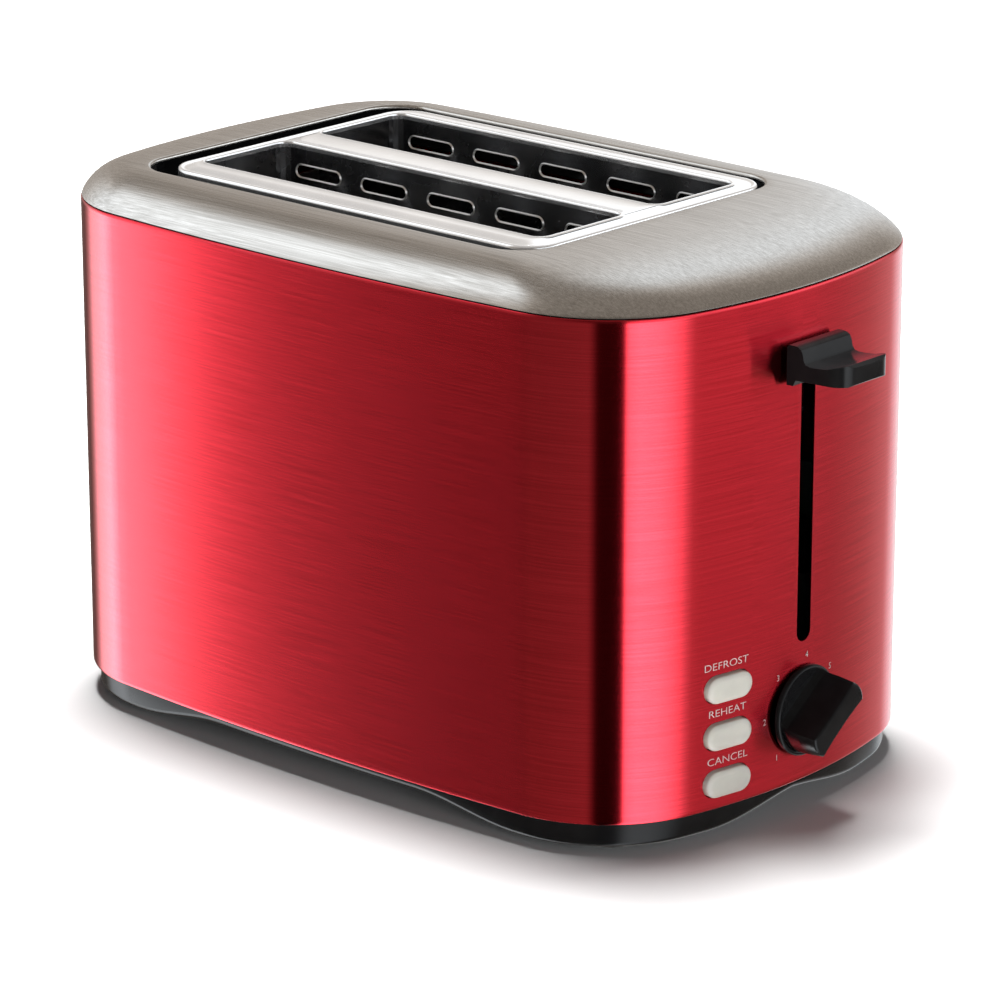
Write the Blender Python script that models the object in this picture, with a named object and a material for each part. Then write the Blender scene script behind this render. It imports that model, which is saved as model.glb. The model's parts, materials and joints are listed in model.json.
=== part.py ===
"""Two-slice pop-up toaster: each physical piece is one named object.

The body's length runs along X with the lever and the dial at +X, and the two bread slots lie side by
side in Y. Lengths below are millimetres, and a mesh is scaled to metres when its object is made.
Body coordinates have x = y = 0 at the middle of the wrapped sheet and z = 0 at the feet. One empty,
toaster_frame, shifts everything along X so that the object's own bottom centre is the world origin.
"""

import math

import bmesh
import bpy
from mathutils import Matrix, Vector

MM = 0.001
GAP = 0.3  # between pieces that touch

# Outline of the body, an oval of eight arcs
HALF_LENGTH = 130.0
HALF_WIDTH = 82.7
SIDE_RADIUS = 1119.0
END_RADIUS = 196.0
CORNER_RADIUS = 43.6
SIDE_STEPS = 6
END_STEPS = 6
CORNER_STEPS = 6

# Heights
PAD_HEIGHT = 1.5
FOOT_BOTTOM = PAD_HEIGHT + GAP
BASE_BOTTOM = 3.0
SKIRT_BOTTOM = 6.4
BASE_LEDGE_TOP = 10.4
BASE_WALL_TOP = 13.0
BAND_BOTTOM = 10.0
BAND_TOP = 166.0
DOME_RISE = 10.6
PLATE_ABOVE_DOME = 1.2

# Sheet and moulding walls
BAND_WALL = 0.8
DOME_WALL = 1.2
PLATE_WALL = 1.0
LINER_WALL = 0.6
END_PLATE_WALL = 1.0
REFLECTOR_WALL = 0.6
BASE_FLOOR = 2.2

# Bread slots, as cut in the slot plate
SLOT_X0 = -80.0
SLOT_LENGTH = 144.0
SLOT_WIDTH = 38.6
SLOT_BRIDGE = 14.5
SLOT_CORNER = 4.0
LINER_CLEARANCE = 0.4
LINER_DEPTH = 27.0

# Slot plate and the opening in the dome around it
PLATE_MARGIN_END = 6.0
PLATE_MARGIN_SIDE = 9.9
PLATE_CORNER = 9.0
PLATE_SKIRT = 5.7
OPENING_GAP_BACK = 9.3
OPENING_GAP_FRONT = 0.6
OPENING_GAP_SIDE = 4.9
OPENING_CORNER = 14.0

# Lever, carriage and its guide rod
TRAVEL = 78.0
LEVER_SLOT_WIDTH = 6.6
LEVER_SLOT_BELOW_LEVER = 5.5
LEVER_BELOW_BAND_TOP = 27.7
LEVER_HEIGHT = 12.4
LEVER_HALF_WIDTH = 11.7
LEVER_REACH = 21.8
ARM_WIDTH = 4.4
ARM_HEIGHT = 6.0
ROD_STAND_OFF = 17.0
ROD_RADIUS = 2.5
SLEEVE_WALL = 2.7
RUNNING_GAP = 0.3
SPRING_WIRE = 1.1
SPRING_TURNS = 11

# Bread racks
RACK_Z = 109.0
RACK_THICKNESS = 1.5
RACK_SPINE = 6.0
RACK_WIDTH = 18.0
RACK_FINGER = 3.0
RACK_FINGERS = 7

# Bread guards: one bent wire on each side of each slot
GUARD_INSET = 7.0
GUARD_WIRE = 0.9
GUARD_BELOW_PLATE = 11.4
GUARD_PIVOT_Z = 34.0
GUARD_LOOPS = 5
GUARD_LOOP_WIDTH = 8.0

# Chassis
END_PLATE_STAND_OFF = 16.0
END_PLATE_OVERHANG = 3.0
END_PLATE_BELOW_BAND_TOP = 6.0
REFLECTOR_STAND_OFF = 5.4
REFLECTOR_FOOT = 11.0
BOARD_WALL = 0.8
BOARD_STAND_OFF = 5.75
BOARD_BOTTOM = 40.0
BOARD_BELOW_LINER = 2.9
WINDING_WIRE = 0.6
WINDING_RUNS = 10

# Dial
DIAL_Z = 33.0
DIAL_RADIUS = 14.3
DIAL_DEPTH = 14.5
DIAL_POINTER_DEG = 36.0
SHAFT_RADIUS = 3.0

# Push buttons, in a column on the curved end
BUTTON_Y = -32.6
BUTTON_LOWEST_Z = 18.3
BUTTON_PITCH = 15.0
BUTTON_LENGTH = 18.5
BUTTON_HEIGHT = 8.7
BUTTON_PROUD = 2.0
BUTTON_EDGE = 0.9
BUTTON_TRAVEL = 1.8
BUTTON_CLEARANCE = 0.4
BUTTON_NAMES = ("cancel", "reheat", "defrost")

# Feet, crumb tray, cord gland, screws
FOOT_LENGTH = 40.0
PAD_RADIUS = 7.5
PAD_INSET = 13.7
TRAY_BESIDE = 32.7
TRAY_HEIGHT = 3.8
TRAY_WALL = 0.8
TRAY_SHORT_OF_PLATE = 10.0
TRAY_SET_BACK = 2.0
TRAY_GRIP = 3.0
GLAND_Z = 26.0
GLAND_FLANGE_RADIUS = 8.0
GLAND_FLANGE = 3.0
GLAND_NECK_RADIUS = 6.0
GLAND_BORE_RADIUS = 3.4
SCREW_FROM_PLATE = 18.0
SCREW_FROM_REFLECTOR = 7.0
SCREW_HEAD_RADIUS = 3.4
SCREW_SHANK_RADIUS = 1.6

# Worked out from the sizes above
SLOT_X1 = SLOT_X0 + SLOT_LENGTH
SLOT_INNER_Y = SLOT_BRIDGE / 2
SLOT_OUTER_Y = SLOT_INNER_Y + SLOT_WIDTH
SLOT_MID_Y = (SLOT_INNER_Y + SLOT_OUTER_Y) / 2
DOME_BOTTOM = BAND_TOP + 0.4
DOME_TOP = DOME_BOTTOM + DOME_RISE
PLATE_TOP = DOME_TOP + PLATE_ABOVE_DOME
PLATE_X0 = SLOT_X0 - PLATE_MARGIN_END
PLATE_X1 = SLOT_X1 + PLATE_MARGIN_END
PLATE_Y = SLOT_OUTER_Y + PLATE_MARGIN_SIDE
OPENING_X0 = PLATE_X0 - OPENING_GAP_BACK
OPENING_X1 = PLATE_X1 + OPENING_GAP_FRONT
OPENING_Y = PLATE_Y + OPENING_GAP_SIDE
LINER_TOP = PLATE_TOP - PLATE_WALL - GAP
LINER_BOTTOM = LINER_TOP - LINER_DEPTH
FRONT_PLATE_X = SLOT_X1 + END_PLATE_STAND_OFF
REAR_PLATE_X = SLOT_X0 - END_PLATE_STAND_OFF
OUTER_BOARD_Y = SLOT_OUTER_Y + BOARD_STAND_OFF
BOARD_TOP = LINER_BOTTOM - BOARD_BELOW_LINER
REFLECTOR_Y = OUTER_BOARD_Y + REFLECTOR_STAND_OFF
END_PLATE_HALF_WIDTH = REFLECTOR_Y + END_PLATE_OVERHANG
END_PLATE_TOP = BAND_TOP - END_PLATE_BELOW_BAND_TOP
ROD_X = FRONT_PLATE_X + ROD_STAND_OFF
LEVER_BOTTOM = BAND_TOP - LEVER_BELOW_BAND_TOP
LEVER_SLOT_BOTTOM = LEVER_BOTTOM - TRAVEL - LEVER_SLOT_BELOW_LEVER
TRAY_HALF_WIDTH = HALF_WIDTH - TRAY_BESIDE
TRAY_FRONT_X = FRONT_PLATE_X - TRAY_SHORT_OF_PLATE
SCREW_X = FRONT_PLATE_X - SCREW_FROM_PLATE
SCREW_Y = REFLECTOR_Y + SCREW_FROM_REFLECTOR
CHASSIS_BOTTOM = BASE_LEDGE_TOP + GAP
BASE_FLOOR_TOP = BASE_BOTTOM + BASE_FLOOR
GUARD_TOP = PLATE_TOP - GUARD_BELOW_PLATE
ARM_Z = LEVER_BOTTOM + LEVER_HEIGHT / 2 - 2.0
LEVER_SLOT_TOP = LEVER_BOTTOM + LEVER_HEIGHT - 2.5
SLEEVE_RADIUS = ROD_RADIUS + RUNNING_GAP + SLEEVE_WALL
SLEEVE_BOTTOM = RACK_Z - 3.0
LEVER_BACK_X = HALF_LENGTH + 0.8
LEVER_TIP_X = LEVER_BACK_X + LEVER_REACH
GLAND_BACK_X = HALF_LENGTH + GLAND_FLANGE + GAP
FRAME_SHIFT = -(LEVER_TIP_X - GLAND_BACK_X) / 2


# ---------------------------------------------------------------- colours


def finish(name, colour, roughness, metallic):
    """A Principled material for one kind of piece."""
    material = bpy.data.materials.new(name)
    material.use_nodes = True
    shader = material.node_tree.nodes["Principled BSDF"]
    shader.inputs["Base Color"].default_value = (*colour, 1.0)
    shader.inputs["Roughness"].default_value = roughness
    shader.inputs["Metallic"].default_value = metallic
    material.diffuse_color = (*colour, 1.0)
    return material


def make_finishes():
    return {
        "red_lacquer": finish("red_lacquer", (0.55, 0.02, 0.03), 0.3, 0.8),
        "brushed_steel": finish("brushed_steel", (0.55, 0.53, 0.50), 0.35, 1.0),
        "polished_steel": finish("polished_steel", (0.68, 0.68, 0.68), 0.15, 1.0),
        "galvanised_sheet": finish("galvanised_sheet", (0.50, 0.52, 0.53), 0.4, 1.0),
        "black_moulding": finish("black_moulding", (0.012, 0.012, 0.013), 0.35, 0.0),
        "rubber": finish("rubber", (0.02, 0.02, 0.02), 0.8, 0.0),
        "cream_plastic": finish("cream_plastic", (0.62, 0.60, 0.54), 0.4, 0.0),
        "mica": finish("mica", (0.42, 0.33, 0.22), 0.6, 0.0),
        "heating_wire": finish("heating_wire", (0.35, 0.31, 0.28), 0.4, 1.0),
        "copper": finish("copper", (0.55, 0.24, 0.12), 0.35, 1.0),
        "circuit_board": finish("circuit_board", (0.03, 0.16, 0.07), 0.5, 0.0),
        "white_plastic": finish("white_plastic", (0.7, 0.7, 0.68), 0.5, 0.0),
    }


# ---------------------------------------------------------------- plan outlines


def arc(centre, radius, start, end, steps):
    """Points along an arc in plan, from start to end in radians, without the last one."""
    angles = [start + (end - start) * i / steps for i in range(steps)]
    return [
        (centre[0] + radius * math.cos(a), centre[1] + radius * math.sin(a)) for a in angles
    ]


def corner_centre():
    """Where the corner arc's centre lies, so that it runs smoothly into the side and end arcs."""
    side = (0.0, HALF_WIDTH - SIDE_RADIUS)
    end = (HALF_LENGTH - END_RADIUS, 0.0)
    to_side = SIDE_RADIUS - CORNER_RADIUS
    to_end = END_RADIUS - CORNER_RADIUS
    span = math.dist(side, end)
    along = (to_side**2 - to_end**2 + span**2) / (2 * span)
    across = math.sqrt(to_side**2 - along**2)
    ux, uy = (end[0] - side[0]) / span, (end[1] - side[1]) / span
    return side[0] + along * ux + across * uy, side[1] + along * uy - across * ux


def body_outline(inset):
    """The body's oval, drawn in by inset, counter-clockwise from the +X end's lower corner."""
    cx, cy = corner_centre()
    end_angle = math.atan2(cy, cx - (HALF_LENGTH - END_RADIUS))
    side_angle = math.atan2(cy - (HALF_WIDTH - SIDE_RADIUS), cx)
    quarter = math.pi / 2
    end_r, side_r, corner_r = END_RADIUS - inset, SIDE_RADIUS - inset, CORNER_RADIUS - inset
    end_x, side_y = HALF_LENGTH - END_RADIUS, HALF_WIDTH - SIDE_RADIUS
    points = arc((end_x, 0), end_r, -end_angle, end_angle, END_STEPS)
    points += arc((cx, cy), corner_r, end_angle, side_angle, CORNER_STEPS)
    points += arc((0, side_y), side_r, side_angle, 2 * quarter - side_angle, SIDE_STEPS)
    points += arc((-cx, cy), corner_r, 2 * quarter - side_angle, 2 * quarter - end_angle, CORNER_STEPS)
    points += arc((-end_x, 0), end_r, 2 * quarter - end_angle, 2 * quarter + end_angle, END_STEPS)
    points += arc((-cx, -cy), corner_r, 2 * quarter + end_angle, 2 * quarter + side_angle, CORNER_STEPS)
    points += arc((0, -side_y), side_r, 2 * quarter + side_angle, 4 * quarter - side_angle, SIDE_STEPS)
    points += arc((cx, -cy), corner_r, 4 * quarter - side_angle, 4 * quarter - end_angle, CORNER_STEPS)
    return points


def rounded_outline(x0, x1, y0, y1, radius, corner=4, end=1, side=1):
    """A rectangle with rounded corners, counter-clockwise from the lower end of its +X side."""
    quarter = math.pi / 2
    points = []
    runs = (
        ((x1 - radius, y1 - radius), 0.0, (x1, y0 + radius), (x1, y1 - radius), end),
        ((x0 + radius, y1 - radius), quarter, (x1 - radius, y1), (x0 + radius, y1), side),
        ((x0 + radius, y0 + radius), 2 * quarter, (x0, y1 - radius), (x0, y0 + radius), end),
        ((x1 - radius, y0 + radius), 3 * quarter, (x0 + radius, y0), (x1 - radius, y0), side),
    )
    for centre, start, run_from, run_to, steps in runs:
        for i in range(steps):
            t = i / steps
            points.append(tuple(a + (b - a) * t for a, b in zip(run_from, run_to)))
        points += arc(centre, radius, start, start + quarter, corner)
    return points


def opening_outline(outset):
    """The opening in the dome, with as many points on each stretch as body_outline has."""
    return rounded_outline(
        OPENING_X0 - outset,
        OPENING_X1 + outset,
        -OPENING_Y - outset,
        OPENING_Y + outset,
        OPENING_CORNER + outset,
        CORNER_STEPS,
        END_STEPS,
        SIDE_STEPS,
    )


def end_surface_x(y):
    """How far out the body's +X end is at this y."""
    return HALF_LENGTH - END_RADIUS + math.sqrt(END_RADIUS**2 - y**2)


def at_height(outline, z):
    return [(x, y, z) for x, y in outline]


# ---------------------------------------------------------------- solids


def face_outwards(bm):
    """Points every face of a closed solid away from its inside."""
    bmesh.ops.recalc_face_normals(bm, faces=bm.faces)
    if bm.calc_volume(signed=True) < 0:
        bmesh.ops.reverse_faces(bm, faces=bm.faces)


def skin_rings(rings, closed=False):
    """A closed solid skinned over rings of points: a tube whose two ends join, or a capped loft."""
    bm = bmesh.new()
    loops = [[bm.verts.new(point) for point in ring] for ring in rings]
    count = len(loops[0])
    pairs = list(zip(loops, loops[1:]))
    if closed:
        pairs.append((loops[-1], loops[0]))
    for lower, upper in pairs:
        for i in range(count):
            j = (i + 1) % count
            bm.faces.new((lower[i], lower[j], upper[j], upper[i]))
    if not closed:
        bm.faces.new(list(reversed(loops[0])))
        bm.faces.new(loops[-1])
    face_outwards(bm)
    return bm


def prism(outline, z0, z1):
    """An outline in plan, extruded from z0 to z1."""
    return skin_rings([at_height(outline, z0), at_height(outline, z1)])


def box(x0, x1, y0, y1, z0, z1):
    bm = bmesh.new()
    bmesh.ops.create_cube(bm, size=1.0)
    bmesh.ops.scale(bm, vec=(x1 - x0, y1 - y0, z1 - z0), verts=bm.verts)
    bmesh.ops.translate(bm, vec=((x0 + x1) / 2, (y0 + y1) / 2, (z0 + z1) / 2), verts=bm.verts)
    return bm


def turned(profile, steps=16, bore=False):
    """A profile of (radius, height) spun about Z. With bore, the profile is a closed outline."""
    bm = bmesh.new()
    verts = [bm.verts.new((radius, 0.0, height)) for radius, height in profile]
    ends = list(zip(verts, verts[1:]))
    if bore:
        ends.append((verts[-1], verts[0]))
    edges = [bm.edges.new(pair) for pair in ends]
    bmesh.ops.spin(
        bm,
        geom=verts + edges,
        axis=(0, 0, 1),
        cent=(0, 0, 0),
        angle=2 * math.pi,
        steps=steps,
        use_merge=True,
    )
    bmesh.ops.remove_doubles(bm, verts=bm.verts, dist=1e-4)
    face_outwards(bm)
    return bm


def cylinder(radius, z0, z1, steps=16):
    return turned([(0.0, z0), (radius, z0), (radius, z1), (0.0, z1)], steps)


def side_profile(points, y0, y1):
    """A closed (x, z) outline, extruded along Y from y0 to y1."""
    return skin_rings([[(x, y, z) for x, z in points] for y in (y0, y1)])


def moved(bm, matrix):
    bm.transform(matrix)
    return bm


def along_x(bm):
    """Turns a shape built up +Z so that it points out along +X."""
    return moved(bm, Matrix.Rotation(math.pi / 2, 4, "Y"))


def shift(x, y, z):
    return Matrix.Translation(Vector((x, y, z)))


def joined(shapes):
    """Several separate shapes in one mesh, for use as a cutter."""
    whole = bmesh.new()
    for shape in shapes:
        scratch = bpy.data.meshes.new("scratch")
        shape.to_mesh(scratch)
        whole.from_mesh(scratch)
        bpy.data.meshes.remove(scratch)
        shape.free()
    return whole


def soften(bm, edges, width, segments=2):
    bmesh.ops.bevel(
        bm,
        geom=edges,
        offset=width,
        segments=segments,
        affect="EDGES",
        profile=0.5,
        material=-1,
    )
    face_outwards(bm)


def level_edges(bm, z):
    return [e for e in bm.edges if all(abs(v.co.z - z) < 1e-4 for v in e.verts)]


# ---------------------------------------------------------------- objects


class Workshop:
    """Makes the objects and hangs them on the frame empty or on a joint's own empty."""

    def __init__(self):
        self.finishes = make_finishes()
        self.frame = bpy.data.objects.new("toaster_frame", None)
        self.frame.location = (FRAME_SHIFT * MM, 0.0, 0.0)
        bpy.context.scene.collection.objects.link(self.frame)

    def pivot(self, name, x, y, z, turn_z=0.0):
        """An empty on a joint's axis, or in the plane of a tilted part."""
        empty = bpy.data.objects.new(name, None)
        empty.parent = self.frame
        empty.location = (x * MM, y * MM, z * MM)
        empty.rotation_euler = (0.0, 0.0, turn_z)
        bpy.context.scene.collection.objects.link(empty)
        return empty

    def add(self, name, bm, finish_name, parent=None, smooth=False, local=False):
        """Turns a shape in body millimetres into a named object under the frame or a pivot."""
        parent = parent or self.frame
        if parent is not self.frame and not local:
            bm.transform(shift(*(-parent.location / MM)))
        bmesh.ops.scale(bm, vec=(MM, MM, MM), verts=bm.verts)
        mesh = bpy.data.meshes.new(name)
        bm.to_mesh(mesh)
        bm.free()
        if smooth:
            mesh.shade_smooth()
            mesh.set_sharp_from_angle(angle=math.radians(35))
        if finish_name:
            mesh.materials.append(self.finishes[finish_name])
        obj = bpy.data.objects.new(name, mesh)
        obj.parent = parent
        bpy.context.scene.collection.objects.link(obj)
        return obj

    def combine(self, obj, bm, operation, parent=None, local=False):
        """Cuts the shape out of the object, or joins it on, with an exact Boolean."""
        name = f"{obj.name}_{operation.lower()}_{len(obj.modifiers)}"
        tool = self.add(name, bm, None, parent, local=local)
        tool.hide_render = True
        tool.display_type = "WIRE"
        modifier = obj.modifiers.new(operation.title(), "BOOLEAN")
        modifier.operation = operation
        modifier.solver = "EXACT"
        modifier.object = tool
        return obj

    def wire(self, name, points, radius, finish_name, parent=None, sides=0, cyclic=False):
        """A round wire along a path of points, with flat closed ends."""
        parent = parent or self.frame
        origin = Vector((0, 0, 0)) if parent is self.frame else parent.location / MM
        curve = bpy.data.curves.new(name, "CURVE")
        curve.dimensions = "3D"
        curve.bevel_depth = radius * MM
        curve.bevel_resolution = sides
        curve.use_fill_caps = True
        spline = curve.splines.new("POLY")
        spline.points.add(len(points) - 1)
        spline.use_cyclic_u = cyclic
        for target, point in zip(spline.points, points):
            target.co = (*((Vector(point) - origin) * MM), 1.0)
        curve.materials.append(self.finishes[finish_name])
        obj = bpy.data.objects.new(name, curve)
        obj.parent = parent
        bpy.context.scene.collection.objects.link(obj)
        return obj


# ---------------------------------------------------------------- outer body


def dome_rings(wall):
    """Rings of the dome's outer skin (wall 0) or of its inner skin, from the seam to the opening."""
    outer = body_outline(GAP + wall)
    opening = opening_outline(0.0)
    rise = DOME_RISE - wall
    rings = []
    for t in (0.0, 0.03, 0.09, 0.18, 0.32, 0.5, 0.75, 1.0):
        height = DOME_BOTTOM + rise * (1 - (1 - t) ** 3.0) ** (1 / 1.25)
        ring = [
            (xo + (xi - xo) * t, yo + (yi - yo) * t, height)
            for (xo, yo), (xi, yi) in zip(outer, opening)
        ]
        rings.append(ring)
    return rings


def make_outer_body(shop):
    band = skin_rings(
        [
            at_height(body_outline(0.0), BAND_BOTTOM),
            at_height(body_outline(0.0), BAND_TOP),
            at_height(body_outline(BAND_WALL), BAND_TOP),
            at_height(body_outline(BAND_WALL), BAND_BOTTOM),
        ],
        closed=True,
    )
    band = shop.add("wrap_band", band, "red_lacquer", smooth=True)
    shop.combine(band, lever_slot_cutter(), "DIFFERENCE")
    shaft_hole = moved(
        along_x(cylinder(SHAFT_RADIUS + 1.0, -6.0, 6.0)), shift(HALF_LENGTH, 0.0, DIAL_Z)
    )
    gland_hole = moved(
        along_x(cylinder(GLAND_NECK_RADIUS + GAP, -6.0, 6.0)), shift(-HALF_LENGTH, 0.0, GLAND_Z)
    )
    shop.combine(band, joined([shaft_hole, gland_hole]), "DIFFERENCE")
    holes = [
        moved(button_pill(BUTTON_CLEARANCE, -8.0, 8.0), button_place(i))
        for i in range(len(BUTTON_NAMES))
    ]
    shop.combine(band, joined(holes), "DIFFERENCE")

    dome = skin_rings(dome_rings(0.0) + dome_rings(DOME_WALL)[::-1], closed=True)
    shop.add("top_cover", dome, "brushed_steel", smooth=True)


def lever_slot_cutter():
    half = LEVER_SLOT_WIDTH / 2
    outline = rounded_outline(LEVER_SLOT_BOTTOM, LEVER_SLOT_TOP, -half, half, half - 0.01, 5)
    return skin_rings([[(x, y, z) for z, y in outline] for x in (HALF_LENGTH - 8.0, HALF_LENGTH + 8.0)])


def make_slot_plate(shop):
    def plate_solid(inset, z0, z1):
        outline = rounded_outline(
            PLATE_X0 + inset, PLATE_X1 - inset, inset - PLATE_Y, PLATE_Y - inset,
            PLATE_CORNER - inset, 5,
        )
        return prism(outline, z0, z1)

    solid = plate_solid(0.0, PLATE_TOP - PLATE_SKIRT, PLATE_TOP)
    soften(solid, level_edges(solid, PLATE_TOP), 1.6, 3)
    plate = shop.add("slot_plate", solid, "polished_steel", smooth=True)
    hollow = plate_solid(PLATE_WALL, PLATE_TOP - PLATE_SKIRT - 5.0, PLATE_TOP - PLATE_WALL)
    shop.combine(plate, hollow, "DIFFERENCE")
    slots = [
        prism(slot_outline(side, 0.0), PLATE_TOP - 8.0, PLATE_TOP + 5.0) for side in (-1, 1)
    ]
    shop.combine(plate, joined(slots), "DIFFERENCE")


def slot_outline(side, outset):
    """One bread slot in plan, on the -Y side or the +Y side, grown by outset."""
    y0, y1 = sorted((side * (SLOT_INNER_Y - outset), side * (SLOT_OUTER_Y + outset)))
    return rounded_outline(
        SLOT_X0 - outset, SLOT_X1 + outset, y0, y1, SLOT_CORNER + outset, 4
    )


def make_surround(shop):
    """The black moulding that carries the slot plate and shows as a channel around it."""
    floor_bottom = PLATE_TOP - PLATE_SKIRT - 5.0
    floor_top = floor_bottom + 2.4
    lip_top = DOME_TOP - DOME_WALL - GAP
    inner_x0, inner_x1 = SLOT_X0 - 2.4, SLOT_X1 + 2.4
    inner = rounded_outline(
        inner_x0, inner_x1, -SLOT_OUTER_Y - 2.4, SLOT_OUTER_Y + 2.4, 4.0,
        CORNER_STEPS, END_STEPS, SIDE_STEPS,
    )
    rings = [
        at_height(opening_outline(2.0), floor_bottom),
        at_height(opening_outline(2.0), lip_top),
        at_height(opening_outline(0.2), lip_top),
        at_height(opening_outline(0.2), floor_top),
        at_height(inner, floor_top),
        at_height(inner, floor_bottom),
    ]
    shop.add("slot_surround", skin_rings(rings, closed=True), "black_moulding")


def make_liners(shop):
    """Polished sleeves that hang in each slot, with a row of vents near the top of the long walls."""
    vent_length, vent_height, vents = 20.0, 4.6, 5
    vent_z = LINER_TOP - 8.0
    pitch = SLOT_LENGTH / vents
    for side, label in ((-1, "front"), (1, "back")):
        outer = slot_outline(side, LINER_CLEARANCE + LINER_WALL)
        inner = slot_outline(side, LINER_CLEARANCE)
        liner = skin_rings(
            [
                at_height(outer, LINER_BOTTOM),
                at_height(outer, LINER_TOP),
                at_height(inner, LINER_TOP),
                at_height(inner, LINER_BOTTOM),
            ],
            closed=True,
        )
        liner = shop.add(f"slot_liner_{label}", liner, "polished_steel")
        cutters = []
        for i in range(vents):
            x = SLOT_X0 + pitch * (i + 0.5)
            outline = rounded_outline(
                x - vent_length / 2, x + vent_length / 2, -vent_height / 2, vent_height / 2,
                vent_height / 2 - 0.01, 3,
            )
            reach = SLOT_WIDTH / 2 + 3.0
            vent = moved(prism(outline, -reach, reach), Matrix.Rotation(math.pi / 2, 4, "X"))
            cutters.append(moved(vent, shift(0.0, side * SLOT_MID_Y, vent_z)))
        shop.combine(liner, joined(cutters), "DIFFERENCE")


# ---------------------------------------------------------------- base


def foot_share(x, y):
    """1 over a corner foot, 0 half way along a side or an end, with a smooth step between."""
    cx, cy = corner_centre()

    def step(distance):
        t = min(max(distance / FOOT_LENGTH + 1.0, 0.0), 1.0)
        return t * t * (3 - 2 * t)

    return step(abs(x) - cx) * step(abs(y) - cy)


def base_ring(inset, at_side, at_corner):
    """A ring of the base whose height goes from at_side to at_corner over each corner foot."""
    ring = []
    for x, y in body_outline(inset):
        share = foot_share(x, y)
        ring.append((x, y, at_side + (at_corner - at_side) * share))
    return ring


def make_base(shop):
    """The moulded base: a skirt arched between four corner feet, a ledge, and a floor with vents."""
    ledge_inset = 26.0
    wall_inset = BAND_WALL + 1.7
    rings = [
        at_height(body_outline(ledge_inset - 2.0), BASE_BOTTOM),
        base_ring(ledge_inset - 5.0, BASE_BOTTOM, FOOT_BOTTOM),
        base_ring(wall_inset + 3.0, SKIRT_BOTTOM, FOOT_BOTTOM),
        base_ring(wall_inset + 1.5, SKIRT_BOTTOM + 0.8, FOOT_BOTTOM + 0.8),
        at_height(body_outline(wall_inset), BAND_BOTTOM - 0.8),
        at_height(body_outline(wall_inset), BASE_WALL_TOP),
        at_height(body_outline(wall_inset + 2.5), BASE_WALL_TOP),
        at_height(body_outline(wall_inset + 2.5), BASE_LEDGE_TOP),
        at_height(body_outline(ledge_inset), BASE_LEDGE_TOP),
        at_height(body_outline(ledge_inset), BASE_FLOOR_TOP),
    ]
    base = shop.add("base_pan", skin_rings(rings), "black_moulding", smooth=True)
    tray_way = box(
        -HALF_LENGTH - 5.0, CORNER_RADIUS + ledge_inset - HALF_LENGTH,
        -TRAY_HALF_WIDTH - 1.0, TRAY_HALF_WIDTH + 1.0,
        BASE_FLOOR_TOP, BASE_FLOOR_TOP + TRAY_HEIGHT + 0.9,
    )
    shop.combine(base, tray_way, "DIFFERENCE")
    vents = [
        box(x, x + 4.0, -24.0, 24.0, BASE_BOTTOM - 5.0, BASE_FLOOR_TOP + 1.0)
        for x in (-60.0, -44.0, -28.0, -12.0, 4.0, 20.0, 36.0, 52.0)
    ]
    shop.combine(base, joined(vents), "DIFFERENCE")
    wells = []
    for x in (-SCREW_X, SCREW_X):
        for y in (-SCREW_Y, SCREW_Y):
            wells.append(
                moved(
                    turned(
                        [
                            (0.0, BASE_BOTTOM - 3.0),
                            (SCREW_HEAD_RADIUS + 0.8, BASE_BOTTOM - 3.0),
                            (SCREW_HEAD_RADIUS + 0.8, BASE_BOTTOM + 4.0),
                            (SCREW_SHANK_RADIUS + 0.4, BASE_BOTTOM + 4.0),
                            (SCREW_SHANK_RADIUS + 0.4, BASE_WALL_TOP + 2.0),
                            (0.0, BASE_WALL_TOP + 2.0),
                        ],
                        12,
                    ),
                    shift(x, y, 0.0),
                )
            )
    shop.combine(base, joined(wells), "DIFFERENCE")

    cx, cy = corner_centre()
    reach = (CORNER_RADIUS - PAD_INSET) * math.sqrt(0.5)
    number = 0
    for x in (-cx - reach, cx + reach):
        for y in (-cy - reach, cy + reach):
            number += 1
            profile = [
                (0.0, 0.0),
                (PAD_RADIUS - 0.8, 0.0),
                (PAD_RADIUS, 0.7),
                (PAD_RADIUS, PAD_HEIGHT),
                (0.0, PAD_HEIGHT),
            ]
            foot = moved(turned(profile), shift(x, y, 0.0))
            shop.add(f"foot_{number}", foot, "rubber", smooth=True)


def make_screws(shop):
    """Pan-head screws that hold the base to the feet of the two outer reflectors."""
    head_bottom = BASE_BOTTOM + 1.0
    head_top = BASE_BOTTOM + 4.0 - GAP
    shank_top = CHASSIS_BOTTOM + 5.0
    number = 0
    for x in (-SCREW_X, SCREW_X):
        for y in (-SCREW_Y, SCREW_Y):
            number += 1
            profile = [
                (0.0, head_bottom),
                (SCREW_HEAD_RADIUS - 1.0, head_bottom),
                (SCREW_HEAD_RADIUS, head_bottom + 1.0),
                (SCREW_HEAD_RADIUS, head_top),
                (SCREW_SHANK_RADIUS, head_top),
                (SCREW_SHANK_RADIUS, shank_top),
                (0.0, shank_top),
            ]
            screw = moved(turned(profile, 12), shift(x, y, 0.0))
            screw = shop.add(f"base_screw_{number}", screw, "galvanised_sheet", smooth=True)
            recess = joined(
                [
                    box(x - 1.8, x + 1.8, y - 0.45, y + 0.45, head_bottom - 1.0, head_bottom + 1.2),
                ]
            )
            shop.combine(screw, recess, "DIFFERENCE")
            cross = box(x - 0.45, x + 0.45, y - 1.8, y + 1.8, head_bottom - 1.0, head_bottom + 1.2)
            shop.combine(screw, cross, "DIFFERENCE")


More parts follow.
